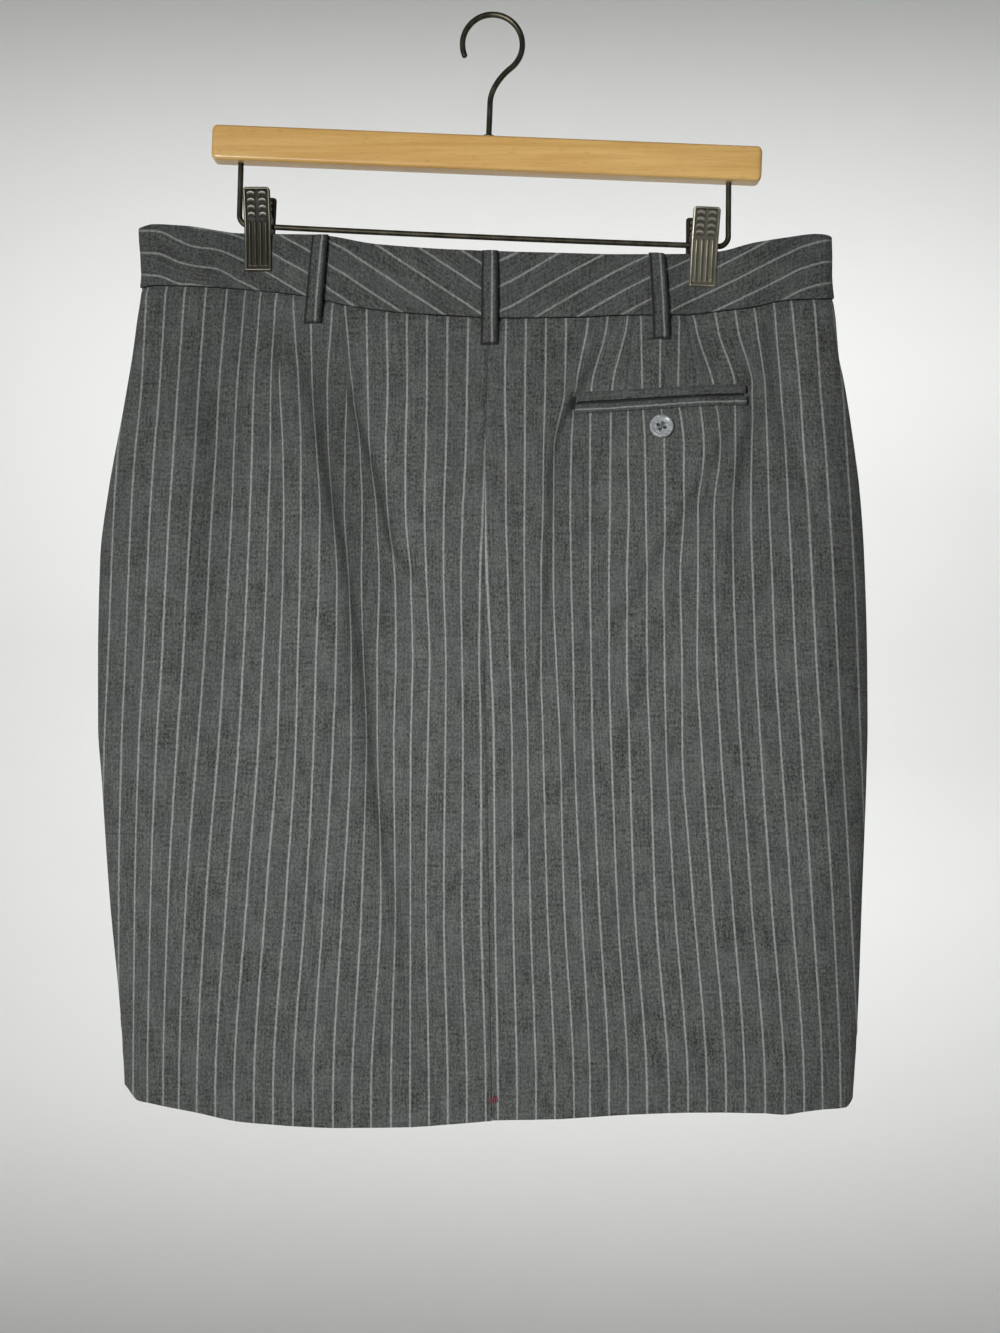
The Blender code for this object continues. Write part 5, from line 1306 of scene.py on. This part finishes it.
# =============================================================== belt loops
def belt_loop(name, face, x_top, x_low, below):
    rows, cols = 46, 13
    if face < 0:
        top_line = lambda x: _top(x)
        waist_line = lambda x: _waist(x)
    else:
        top_line, waist_line = band_top[1], waist[1]
    z0 = float(top_line(x_top)) - 1.0
    z1 = float(waist_line(x_low)) - below
    s = np.linspace(0, 1, rows)
    half = 4.75
    P = np.zeros((rows, cols, 3))
    N = np.zeros((rows, cols, 3))
    width = half * (0.94 + 0.10 * s) + 0.10 * value_noise(s * 7, s * 0, 81)
    for i, t in enumerate(s):
        xc = x_top + (x_low - x_top) * t
        z = z0 + (z1 - z0) * t
        xs = xc + np.linspace(-1, 1, cols) * width[i]
        if face < 0:
            zc = np.full(cols, min(z, float(top_line(xc)) - 1.4))
            p, n, _, _ = back_world(xs, zc)
            p = p + np.array([0, 0, 1.0]) * (z - zc)[:, None]
        else:
            zc = np.full(cols, min(z, float(top_line(xc)) - 0.6))
            p, n = place(1, xs, zc), normal_at(1, xs, zc)
            p = p + np.array([0, 0, 1.0]) * (z - zc)[:, None]
        n = n.mean(0)
        n /= np.linalg.norm(n)
        across = np.linspace(-1, 1, cols)
        rise = 1.5 * min(1.0, 2.4 * math.sin(math.pi * min(max(t, 0.0), 1.0)) ** 0.8)
        step = smooth((z - float(waist_line(xc)) + 6.0) / 9.0)          # band is thicker than the panel
        base = (PANEL_T / 2) * (1 - step) + (BAND_T / 2 + 0.4) * step
        crown = 0.55 * (1 - across**2)
        P[i] = p + n * (base + 0.35 + LOOP_T / 2 + rise + crown)[:, None]
        N[i] = n
    N = grid_normals(P, face)
    u = np.linspace(-1, 1, cols)[None, :] * half + 0 * s[:, None]
    if face > 0:
        u = u
    v = np.linspace(abs(z1 - z0), 0, rows)[:, None] + 0 * u
    obj = shell(name + "_strip", P, N, LOOP_T / 2, LOOP_T / 2, u, v, ext=(0.5, 0.55, 0.6, 0.55), steps=6)
    finish_piece(obj, WOOL_LOOP, name)
    return obj


for name_, spec_ in LOOPS.items():
    belt_loop(name_, *spec_)


# =============================================================== back pocket
def on_back(x, z, out):
    """World point out from the back panel's outer face at world place x, height z."""
    p, n, _, _ = back_world(x, z)
    return p + n * (PANEL_T / 2 + np.asarray(out))[..., None], n


def welt(name, z_near, z_far, light_at=None):
    cols, rows = 92, 12
    x = np.linspace(POCKET_X[0], POCKET_X[1], cols)[None, :] * np.ones((rows, 1))
    t = np.linspace(0, 1, rows)[:, None]
    drop = 0.25 * np.sin((x - POCKET_X[0]) / (POCKET_X[1] - POCKET_X[0]) * math.pi)
    z = slit(x) + z_near + (z_far - z_near) * t - drop
    roll = 0.55 * np.sqrt(np.clip(1 - (2 * t - 1) ** 2, 0, 1))
    P, n = on_back(x, z, 0.45 + WELT_T / 2 + roll + 0.12 * value_noise(x / 9, z / 5, 91))
    N = grid_normals(P, -1)
    u = (z_far - z_near) * t + 0 * x
    u = u - light_at if light_at is not None else u + 50.0
    obj = shell(name + "_strip", P, N, WELT_T / 2, WELT_T / 2, u, x + 0 * u, ext=(0.5, 0.3, 0.5, 0.3), steps=6)
    finish_piece(obj, WOOL_WELT, name)
    # a single rounded strip along the pocket's mouth: the half that shows of a welt folded double, its 2 mm turnings
    # inside left out
    return obj


welt("welt_upper", 1.0 + 5.3, 1.55)
welt("welt_lower", -1.45, -1.0 - 5.0, light_at=-3.0)


# =============================================================== buttons
def lathe(name, profile, segments=72):
    """A turned solid about Z from an open profile of (radius, height), both ends on the axis."""
    bm = bmesh.new()
    rings = []
    for r, z in profile:
        if r < 1e-6:
            rings.append([bm.verts.new((0, 0, z * MM))])
        else:
            rings.append([bm.verts.new((r * math.cos(2 * math.pi * k / segments) * MM,
                                        r * math.sin(2 * math.pi * k / segments) * MM, z * MM))
                          for k in range(segments)])
    for a, b in zip(rings[:-1], rings[1:]):
        for k in range(segments):
            l = (k + 1) % segments
            if len(a) == 1:
                bm.faces.new((a[0], b[k], b[l]))
            elif len(b) == 1:
                bm.faces.new((a[k], b[0], a[l]))
            else:
                bm.faces.new((a[k], b[k], b[l], a[l]))
    bmesh.ops.recalc_face_normals(bm, faces=bm.faces)
    mesh = bpy.data.meshes.new(name)
    bm.to_mesh(mesh)
    bm.free()
    mesh.shade_smooth()
    obj = bpy.data.objects.new(name, mesh)
    bpy.context.scene.collection.objects.link(obj)
    return obj


def button(name, node, at, n, turn):
    """Four-hole button with a raised rim and a dished middle, sewn with crossing thread."""
    r = 7.45
    profile = [(0, 0), (r - 1.6, 0.0), (r - 0.7, 0.25), (r - 0.15, 0.9), (r, 1.5), (r - 0.12, 2.1), (r - 0.5, 2.6),
               (r - 1.0, 2.78), (r - 1.5, 2.68), (r - 1.9, 2.35), (r - 2.3, 2.1), (r - 3.0, 1.98), (2.6, 1.92),
               (1.0, 1.9), (0, 1.9)]
    body = lathe(name, profile)
    holes = []
    for k in range(4):
        a = math.pi / 4 + k * math.pi / 2
        c = lathe(f"{name}_hole_{k}", [(0, -1.0), (1.12, -1.0), (1.12, 1.60), (1.32, 1.95), (1.35, 3.5), (0, 3.5)], 28)
        c.location = (2.1 * math.cos(a) * MM, 2.1 * math.sin(a) * MM, 0)
        holes.append(c)
    bpy.context.view_layer.update()
    for c in holes:
        mod = body.modifiers.new("hole", "BOOLEAN")
        mod.operation, mod.solver, mod.object = "DIFFERENCE", "EXACT", c
    dg = bpy.context.evaluated_depsgraph_get()
    cut = bpy.data.meshes.new_from_object(body.evaluated_get(dg))
    body.modifiers.clear()
    body.data = cut
    for c in holes:
        bpy.data.objects.remove(c, do_unlink=True)
    cut.shade_smooth()
    cut.set_sharp_from_angle(angle=math.radians(38))
    spin = Vector(n).to_track_quat("Z", "Y").to_matrix().to_4x4() @ Matrix.Rotation(turn, 4, "Z")
    m = Matrix.Translation(Vector(at) * MM) @ spin
    body.data.transform(m)
    finish_piece(body, PEARL, node)
    # thread: two strands each way, down through the holes
    bm = bmesh.new()

    def strand(points, rad):
        pts = [Vector(p) * MM for p in points]
        prev = None
        for k, p in enumerate(pts):
            d = (pts[min(k + 1, len(pts) - 1)] - pts[max(k - 1, 0)]).normalized()
            side = d.cross(Vector((0.3, 0.2, 1))).normalized()
            up = side.cross(d)
            ring = [bm.verts.new(p + (side * math.cos(q * math.pi / 4) + up * math.sin(q * math.pi / 4)) * rad * MM)
                    for q in range(8)]
            if prev:
                for q in range(8):
                    bm.faces.new((prev[q], prev[(q + 1) % 8], ring[(q + 1) % 8], ring[q]))
            else:
                bm.faces.new(ring[::-1])
            prev = ring
        bm.faces.new(prev)
    for k in (0, 1):
        a = math.pi / 4 + k * math.pi / 2
        for shift in (-0.30, 0.30):
            ox, oy = -math.sin(a) * shift, math.cos(a) * shift
            pts = []
            for s in np.linspace(-1, 1, 15):
                rad = 2.1 * s
                z = 2.05 + 0.35 * k + 0.25 * (1 - s * s) if abs(s) < 0.93 else 1.2
                pts.append((rad * math.cos(a) + ox, rad * math.sin(a) + oy, z))
            strand(pts, 0.15)
    bmesh.ops.recalc_face_normals(bm, faces=bm.faces)
    mesh = bpy.data.meshes.new(name + "_thread")
    bm.to_mesh(mesh)
    bm.free()
    mesh.transform(m)
    mesh.shade_smooth()
    obj = bpy.data.objects.new(name + "_thread", mesh)
    bpy.context.scene.collection.objects.link(obj)
    finish_piece(obj, THREAD_GREY, None)


p_, n_, _, _ = back_world(np.array(104.0), np.array(-264.1))
button("pocket_button_disc", "pocket_button", p_ + n_ * (PANEL_T / 2 + 0.4), n_, math.radians(20))
zb_ = float((band_top[1](-24.0) + waist[1](-24.0)) / 2)
p_, n_ = place(1, np.array(-24.0), np.array(zb_)), normal_at(1, np.array(-24.0), np.array(zb_))
button("band_button_disc", "band_button", p_ + n_ * (lap_out(-24.0) + BAND_T / 2 + 0.5), n_, math.radians(8))


# =============================================================== tubes
def tube(name, points, radius, mat, node, sides=20, closed_ends=True):
    """A round tube along points (mm); radius may vary along it."""
    pts = [Vector(p) for p in points]
    rad = np.broadcast_to(np.asarray(radius, float), (len(pts),))
    bm = bmesh.new()
    d0 = (pts[1] - pts[0]).normalized()
    side = d0.orthogonal().normalized()
    prev = None
    for k, p in enumerate(pts):
        d = (pts[min(k + 1, len(pts) - 1)] - pts[max(k - 1, 0)]).normalized()
        side = (side - d * side.dot(d)).normalized()
        up = d.cross(side)
        ring = [bm.verts.new((p + (side * math.cos(2 * math.pi * q / sides) + up * math.sin(2 * math.pi * q / sides))
                              * float(rad[k])) * MM) for q in range(sides)]
        if prev:
            for q in range(sides):
                bm.faces.new((prev[q], ring[q], ring[(q + 1) % sides], prev[(q + 1) % sides]))
        else:
            bm.faces.new(ring)
        prev = ring
    bm.faces.new(prev[::-1])
    bmesh.ops.recalc_face_normals(bm, faces=bm.faces)
    mesh = bpy.data.meshes.new(name)
    bm.to_mesh(mesh)
    bm.free()
    mesh.shade_smooth()
    mesh.set_sharp_from_angle(angle=math.radians(50))
    obj = bpy.data.objects.new(name, mesh)
    bpy.context.scene.collection.objects.link(obj)
    return finish_piece(obj, mat, node)


# =============================================================== hanger
TILT = Matrix.Rotation(HANGER_TILT, 4, "Y")
BAR = dict(left=-174.6, right=173.3, low=-98.7, high=-76.7, thick=12.0)


def rounded_ends(points, r):
    """Radii that round both ends of a tube."""
    pts = [Vector(p) for p in points]
    s = np.concatenate([[0], np.cumsum([(b - a).length for a, b in zip(pts[:-1], pts[1:])])])
    e = np.minimum(s, s[-1] - s)
    return r * np.sqrt(np.clip(1 - (1 - np.clip(e / (0.6 * r), 0, 1)) ** 2, 0.02, 1))


def hook_points():
    r_tube, R = 1.8, 19.0
    zc = r_tube - R
    start, end = math.radians(-50), math.radians(204)
    low = BAR["high"] + SEAM_GAP
    pts = [(0.0, 0.0, low + (-54.0 - low) * i / 10) for i in range(10)]
    a0, a1 = np.array([0.0, -54.0]), np.array([R * math.cos(start), zc + R * math.sin(start)])
    t0, t1 = np.array([0.0, 26.0]), np.array([-math.sin(start), math.cos(start)]) * 22.0
    for i in range(24):
        t = i / 24
        p = ((2 * t**3 - 3 * t**2 + 1) * a0 + (t**3 - 2 * t**2 + t) * t0
             + (-2 * t**3 + 3 * t**2) * a1 + (t**3 - t**2) * t1)
        pts.append((p[0], 0.0, p[1]))
    for i in range(97):
        a = start + (end - start) * i / 96
        pts.append((R * math.cos(a), 0.0, zc + R * math.sin(a)))
    a = end
    tip = Vector(pts[-1])
    fwd = Vector((-math.sin(a), 0, math.cos(a)))
    for k in range(1, 7):
        pts.append(tuple(tip + fwd * 0.22 * k))
    return [tuple(TILT @ Vector(p)) for p in pts]


hp = hook_points()
rad = np.full(len(hp), 1.8)
rad[-6:] = 1.8 * np.sqrt(np.clip(1 - (np.arange(1, 7) / 6.3) ** 2, 0.02, 1))
tube("hook_wire", hp, rad, BRONZE, "hanger_hook", sides=24)

# collar where the hook enters the bar
collar_at = TILT @ Vector((0.0, 0.0, BAR["high"]))
collar = lathe("hook_collar", [(0, -0.6), (4.6, -0.6), (4.9, -0.2), (4.9, 0.25), (4.4, 0.75), (3.2, 1.25), (2.3, 1.9),
                               (2.0, 2.3), (1.9, 2.3), (0, 2.3)], 48)
collar.data.transform(Matrix.Translation(collar_at * MM) @ TILT)
finish_piece(collar, BRONZE, None)


def rod_drop(x):
    """The rod sits a little lower towards its right end, and sags in the middle."""
    t = min(max((x + 156.0) / 310.7, 0.0), 1.0)
    return 1.1 * t + 0.7 * math.sin(math.pi * t)


def rod_points():
    left, right, bend = -156.0, 154.7, 6.4
    top = BAR["low"] - 0.3
    pts = [(left, 0.0, top + (ROD_Z + bend - top) * i / 10) for i in range(10)]
    for i in range(17):
        a = math.pi + math.pi / 2 * i / 16
        pts.append((left + bend + bend * math.cos(a), 0.0, ROD_Z + bend + bend * math.sin(a)))
    pts += [(left + (right - left) * k / 40, 0.0, ROD_Z) for k in range(2, 39)]
    for i in range(17):
        a = -math.pi / 2 + math.pi / 2 * i / 16
        pts.append((right - bend + bend * math.cos(a), 0.0, ROD_Z + bend + bend * math.sin(a)))
    pts += [(right, 0.0, ROD_Z + bend + (top - ROD_Z - bend) * i / 10) for i in range(1, 11)]
    out = []
    for x, y, z in pts:
        f = min(max((top - z) / (top - ROD_Z), 0.0), 1.0)
        splay = 1.3 if x > 0 else 0.5
        out.append(tuple(TILT @ Vector((x - splay * (1.0 - f), y, z - rod_drop(x) * f))))
    return out


tube("clip_rod", rod_points(), 1.75, BRONZE_WIRE, "hanger_rod", sides=24)


def bar():
    """Long beech bar with eased edges and softly rounded ends."""
    L, W, H = BAR["right"] - BAR["left"], BAR["thick"], BAR["high"] - BAR["low"]
    r = 2.2
    n_arc, n_len = 6, 60
    section = []
    for cy, cz, a0 in ((W / 2 - r, H / 2 - r, 0), (-W / 2 + r, H / 2 - r, 90), (-W / 2 + r, -H / 2 + r, 180),
                       (W / 2 - r, -H / 2 + r, 270)):
        for k in range(n_arc + 1):
            a = math.radians(a0 + 90 * k / n_arc)
            section.append((cy + r * math.cos(a), cz + r * math.sin(a)))
    xs, ins = [], []
    e = 3.4
    for k in range(9):
        a = math.pi / 2 * k / 8
        xs.append(-L / 2 + e * (1 - math.sin(a)))
        ins.append(e * (1 - math.cos(a)))
    xs, ins = xs[::-1], ins[::-1]
    xs, ins = [x for x in xs], [i for i in ins]
    left = sorted(zip(xs, ins))
    stations = left + [(-L / 2 + e + (L - 2 * e) * k / n_len, 0.0) for k in range(1, n_len)]
    stations += [(-x, i) for x, i in reversed(left)]
    bm = bmesh.new()
    rings = []
    for x, i in stations:
        fy, fz = (W / 2 - i * 0.75) / (W / 2), (H / 2 - i) / (H / 2)
        bow = 0.25 * math.sin(math.pi * (x / L + 0.5))
        rings.append([bm.verts.new(((x + (BAR["left"] + BAR["right"]) / 2) * MM, y * fy * MM,
                                    (z * fz + (BAR["low"] + BAR["high"]) / 2 + bow * 0.0) * MM)) for y, z in section])
    n = len(section)
    for a, b in zip(rings[:-1], rings[1:]):
        for k in range(n):
            bm.faces.new((a[k], a[(k + 1) % n], b[(k + 1) % n], b[k]))
    bm.faces.new(rings[0][::-1])
    bm.faces.new(rings[-1])
    bmesh.ops.recalc_face_normals(bm, faces=bm.faces)
    mesh = bpy.data.meshes.new("beech_bar")
    bm.to_mesh(mesh)
    bm.free()
    mesh.transform(TILT)
    mesh.shade_smooth()
    mesh.set_sharp_from_angle(angle=math.radians(40))
    obj = bpy.data.objects.new("beech_bar", mesh)
    bpy.context.scene.collection.objects.link(obj)
    finish_piece(obj, BEECH, "hanger_bar")


bar()

# =============================================================== clips
CLIP_LOOK = {           # how much taller the front and the back jaw, how far the back one is pushed along the rod
    "left": (1.035, 1.085, 0.7), "right": (0.985, 1.0, -1.7),
}
JAW = [(20.2, 11.5), (10.0, 8.9), (0.0, 6.4), (-9.0, 5.2), (-20.0, 4.6), (-28.6, 4.4)]     # height, outer face
jaw_face = curve(JAW, 1)


def jaw(name, clip, sign, mat):
    """Pressed steel jaw: ribbed thumb pad above the rod, four flutes below it, turned edges."""
    taller = CLIP_LOOK[clip["tag"]][0 if sign < 0 else 1]
    along_rod = 0.0 if sign < 0 else CLIP_LOOK[clip["tag"]][2]
    place_m = (Matrix.Translation((clip["x"] + along_rod, 0.0, rod_height(clip["x"])))
               @ Matrix.Rotation(clip["lean"], 4, "Y") @ Matrix.Diagonal((1.0, 1.0, taller, 1.0)))
    rows, cols = 190, 86
    h = np.linspace(20.2, -28.6, rows)[:, None] * np.ones((1, cols))
    x = np.linspace(-CLIP_W, CLIP_W, cols)[None, :] * np.ones((rows, 1))
    base = jaw_face(h)
    relief = np.zeros_like(h)
    # rim round the plate
    edge = np.minimum(np.minimum(CLIP_W - np.abs(x), h + 28.6), 20.2 - h)
    relief += 0.75 * smooth((1.9 - edge) / 0.7)
    roll = 0.75 * (1 - np.sqrt(np.clip(1 - ((0.9 - np.minimum(edge, 0.9)) / 0.9) ** 2, 0, 1)))
    # thumb ribs: four rows, two columns
    for hc in (17.2, 13.3, 9.4, 5.5):
        for xc in (-3.55, 3.55):
            across = smooth((2.75 - np.abs(x - xc)) / 0.7)
            relief += 1.15 * across * np.exp(-((h - hc + 0.13 * (x - xc) ** 2) / 0.95) ** 2)
    # flutes
    along = smooth((1.6 - h) / 1.4) * smooth((h + 25.4) / 1.4)
    for xc in (-5.1, -1.7, 1.7, 5.1):
        relief += 0.95 * along * np.exp(-((x - xc) / 0.80) ** 2)
    relief -= 0.15 * (1 - smooth((1.9 - edge) / 0.7))
    out = base - 0.55 + relief - roll
    r = 2.2
    narrow = 1.0 - r / CLIP_W * (1.0 - np.sqrt(1.0 - np.clip((h - 20.2 + r) / r, 0.0, 1.0) ** 2))
    P = np.stack([x * narrow, sign * out, h], -1)
    inner = np.stack([x * narrow * 0.985, sign * (base - 1.15), h], -1)
    # as a shell between the two skins
    M_ = (P + inner) / 2
    T = np.linalg.norm(P - inner, axis=-1) / 2
    Nn = (P - inner) / (2 * T[..., None])
    obj = shell(name, M_, Nn, T, T, x, h, ext=(0.25, 0.25, 0.25, 0.25), steps=4, smooth_deg=35)
    obj.data.uv_layers.remove(obj.data.uv_layers["OFBake"])
    # ears
    inset = 0.0 if sign < 0 else 1.5
    bm = bmesh.new()
    bm.from_mesh(obj.data)
    for s in (-1, 1):
        outer_x = s * (CLIP_W - inset)
        inner_x = s * (CLIP_W - inset - 1.1)
        prof = []
        for hh in np.linspace(-7.0, 8.0, 16):
            prof.append((float(jaw_face(hh)) - 0.9, hh))
        back = []
        for k in range(17):
            a = math.radians(100 - 200 * k / 16)
            back.append((-math.cos(a) * 4.3 * 1.0, math.sin(a) * 4.3))
        ring_pts = prof + [(y, z) for y, z in back]
        va = [bm.verts.new((outer_x * MM, sign * y * MM, z * MM)) for y, z in ring_pts]
        vb = [bm.verts.new((inner_x * MM, sign * y * MM, z * MM)) for y, z in ring_pts]
        bm.faces.new(va)
        bm.faces.new(vb[::-1])
        for k in range(len(va)):
            l = (k + 1) % len(va)
            bm.faces.new((va[k], vb[k], vb[l], va[l]))
    bmesh.ops.recalc_face_normals(bm, faces=bm.faces)
    bm.to_mesh(obj.data)
    bm.free()
    m = place_m.copy()
    m.translation = m.translation * MM
    obj.data.transform(m)
    return finish_piece(obj, mat, f"clip_{clip['tag']}_{'front' if sign < 0 else 'back'}")


def spring(clip, mat):
    turns, r, wire = 5.0, 2.75, 0.55
    pts = []
    n = 150
    half = 4.6
    leg = 9.0
    for k in range(10):
        t = k / 10
        pts.append((-half, -(5.0 - 2.2 * t), leg * (1 - t) + 0.5))
    for k in range(n + 1):
        a = -math.pi / 2 - 2 * math.pi * turns * k / n
        pts.append((-half + 2 * half * k / n, r * math.sin(a), r * math.cos(a) * 1.0))
    for k in range(1, 11):
        t = k / 10
        pts.append((half, 2.8 + 2.2 * t, leg * t + 0.5))
    m = Matrix.Translation((clip["x"], 0.0, rod_height(clip["x"]) - rod_drop(clip["x"]))) @ TILT
    tube(f"clip_{clip['tag']}_coil", [tuple(m @ Vector(p)) for p in pts], wire, mat, f"clip_{clip['tag']}_spring",
         sides=10)


for clip_, mat_, slot_ in ((CLIPS[0], JAW_DARK, "bronzed_steel"), (CLIPS[1], JAW_WORN, "worn_steel")):
    jaw(f"jaw_{clip_['tag']}_front", clip_, -1, mat_)
    jaw(f"jaw_{clip_['tag']}_back", clip_, 1, JAW_DARK)
    spring(clip_, BRONZE)


# =============================================================== stitches
def stitches(name, centres, directions, normals, length, radius, mat):
    """Many short stitches as one mesh: flattened capsules along their directions."""
    verts, faces = [], []
    prof = [(-0.5, 0.0), (-0.42, 0.7), (-0.2, 1.0), (0.2, 1.0), (0.42, 0.7), (0.5, 0.0)]
    for c, d, n in zip(centres, directions, normals):
        d = d / np.linalg.norm(d)
        n = n - d * np.dot(n, d)
        n = n / np.linalg.norm(n)
        s = np.cross(d, n)
        base = len(verts)
        rings = []
        for t, r in prof:
            if r == 0.0:
                rings.append([len(verts)])
                verts.append(c + d * t * length - n * radius * 0.3)
            else:
                ids = []
                for q in range(6):
                    a = q * math.pi / 3
                    ids.append(len(verts))
                    verts.append(c + d * t * length + (n * math.cos(a) * 0.8 + s * math.sin(a)) * radius * r)
                rings.append(ids)
        for a, b in zip(rings[:-1], rings[1:]):
            for q in range(6):
                l = (q + 1) % 6
                if len(a) == 1:
                    faces.append((a[0], b[q], b[l]))
                elif len(b) == 1:
                    faces.append((a[q], b[0], a[l]))
                else:
                    faces.append((a[q], b[q], b[l], a[l]))
    mesh = bpy.data.meshes.new(name)
    mesh.from_pydata([tuple(v * MM) for v in verts], [], faces)
    bm = bmesh.new()
    bm.from_mesh(mesh)
    bmesh.ops.recalc_face_normals(bm, faces=bm.faces)
    bm.to_mesh(mesh)
    bm.free()
    mesh.shade_smooth()
    obj = bpy.data.objects.new(name, mesh)
    bpy.context.scene.collection.objects.link(obj)
    return finish_piece(obj, mat, None)


# red tack at the foot of the vent
tack_x, tack_z = EYE[0] + (493 - 500) * 0.635, 11.445 - 0.635 * 1099.5
pts_, dirs_, nrm_ = [], [], []
for k in range(5):
    a = np.array([tack_x - 2.3 + 1.15 * k, tack_z + (0.4, -0.3, 0.1, -0.5, 0.3)[k]])
    p = place(-1, a[0], a[1])
    n = normal_at(-1, a[0], a[1])
    pts_.append(p + n * (PANEL_T / 2 + 0.45))
    dirs_.append(np.array([(0.18, -0.12, 0.25, 0.05, -0.2)[k], 0.0, 1.0]))
    nrm_.append(n)
stitches("vent_tack", pts_, dirs_, nrm_, 4.4, 0.30, THREAD_RED)

# short row of stitches that holds the head of the vent
pts_, dirs_, nrm_ = [], [], []
for k in range(5):
    x, z = EYE[0] + (458.5 + 4.4 * k - 500) * 0.635, 11.445 - 0.635 * (884.6 - 0.45 * k)
    n = normal_at(-1, x, z)
    pts_.append(place(-1, x, z) + n * (PANEL_T / 2 + 0.30))
    dirs_.append(np.array([1.0, 0.0, 0.12]))
    nrm_.append(n)
stitches("vent_head", pts_, dirs_, nrm_, 2.3, 0.30, THREAD_BLACK)

# fly stitching on the front: down beside the centre, then curving in to it
pts_, dirs_, nrm_ = [], [], []
path = [(25.0, z) for z in np.arange(-200.0, -318.0, -2.6)]
for k in range(1, 20):
    a = math.pi / 2 * k / 19
    path.append((-3.0 + 28.0 * math.cos(a), -318.0 - 42.0 * math.sin(a)))
path = np.array(path)
s_ = np.concatenate([[0], np.cumsum(np.hypot(*np.diff(path, axis=0).T))])
for t in np.arange(1.0, s_[-1] - 1.0, 2.7):
    x, z = np.interp(t, s_, path[:, 0]), np.interp(t, s_, path[:, 1])
    x1, z1 = np.interp(t + 0.8, s_, path[:, 0]), np.interp(t + 0.8, s_, path[:, 1])
    p, q = place(1, x, z), place(1, x1, z1)
    n = normal_at(1, x, z)
    lift = 0.7 * math.exp(-(abs(x + 3.0) / 20.0) ** 4) - 0.28
    pts_.append(p + n * (PANEL_T / 2 + lift + 0.10))
    dirs_.append(q - p)
    nrm_.append(n)
stitches("fly_stitching", pts_, dirs_, nrm_, 2.2, 0.24, THREAD_DARK)


# =============================================================== studio
def stage_material(name, colour, rough=0.9):
    mat = bpy.data.materials.new(name)
    tree, shader = nodes_of(mat)
    w = Web(tree)
    co = object_coords(w)
    grain = w.noise(w.stretch(co, 3, 3, 3), 1.0, 4.0, 0.6)
    w.put(shader.inputs["Base Color"], w.mix(grain, colour, tuple(min(1.0, c * 1.03) for c in colour)))
    shader.inputs["Roughness"].default_value = rough
    shader.inputs["Specular IOR Level"].default_value = 0.1
    return mat


def studio():
    """A pale floor that curves up into a round backdrop on every side."""
    floor_z, radius, fillet, height = -1.62, 4.6, 1.3, 5.2
    profile = [(0.0, floor_z)] + [(radius - fillet, floor_z)]
    for k in range(1, 17):
        a = math.pi / 2 * k / 16
        profile.append((radius - fillet + fillet * math.sin(a), floor_z + fillet - fillet * math.cos(a)))
    profile.append((radius, floor_z + height))
    bm = bmesh.new()
    seg = 96
    rings = []
    for r, z in profile:
        if r == 0:
            rings.append([bm.verts.new((0, 0, z))])
        else:
            rings.append([bm.verts.new((r * math.cos(2 * math.pi * k / seg), r * math.sin(2 * math.pi * k / seg), z))
                          for k in range(seg)])
    for a, b in zip(rings[:-1], rings[1:]):
        for k in range(seg):
            l = (k + 1) % seg
            if len(a) == 1:
                bm.faces.new((a[0], b[k], b[l]))
            else:
                bm.faces.new((a[k], b[k], b[l], a[l]))
    bmesh.ops.recalc_face_normals(bm, faces=bm.faces)
    for f in bm.faces:
        f.smooth = True
    mesh = bpy.data.meshes.new("studio")
    bm.to_mesh(mesh)
    bm.free()
    mesh.flip_normals()
    obj = bpy.data.objects.new("studio", mesh)
    bpy.context.scene.collection.objects.link(obj)
    mesh.materials.append(stage_material("stage_pale", (0.80, 0.806, 0.793)))


studio()

world = bpy.data.worlds.new("studio_light")
bpy.context.scene.world = world
world.use_nodes = True
bg = world.node_tree.nodes["Background"]
bg.inputs[0].default_value = (1.0, 1.0, 1.0, 1.0)
bg.inputs[1].default_value = 0.06


def area(name, at, to, size, power, colour=(1, 1, 1)):
    data = bpy.data.lights.new(name, "AREA")
    data.shape = "RECTANGLE"
    data.size, data.size_y = size
    data.energy = power
    data.color = colour
    obj = bpy.data.objects.new(name, data)
    obj.location = at
    obj.rotation_euler = (Vector(to) - Vector(at)).to_track_quat("-Z", "Y").to_euler()
    bpy.context.scene.collection.objects.link(obj)
    return obj


TARGET = (0.0, 0.0, -0.42)
key = area("key", (-0.90, -2.22, -0.50), (0.05, 0.0, -0.48), (0.40, 0.30), 2.95, (1.0, 0.995, 0.98))
key.data.spread = math.radians(40)
wall = area("wall", (0.0, 1.4, 1.9), (0.0, 4.4, -0.5), (4.0, 1.6), 79.0)
wall.data.spread = math.radians(120)

bpy.context.scene.view_settings.view_transform = "Standard"
bpy.context.scene.view_settings.look = "None"
bpy.context.scene.view_settings.exposure = 0.0
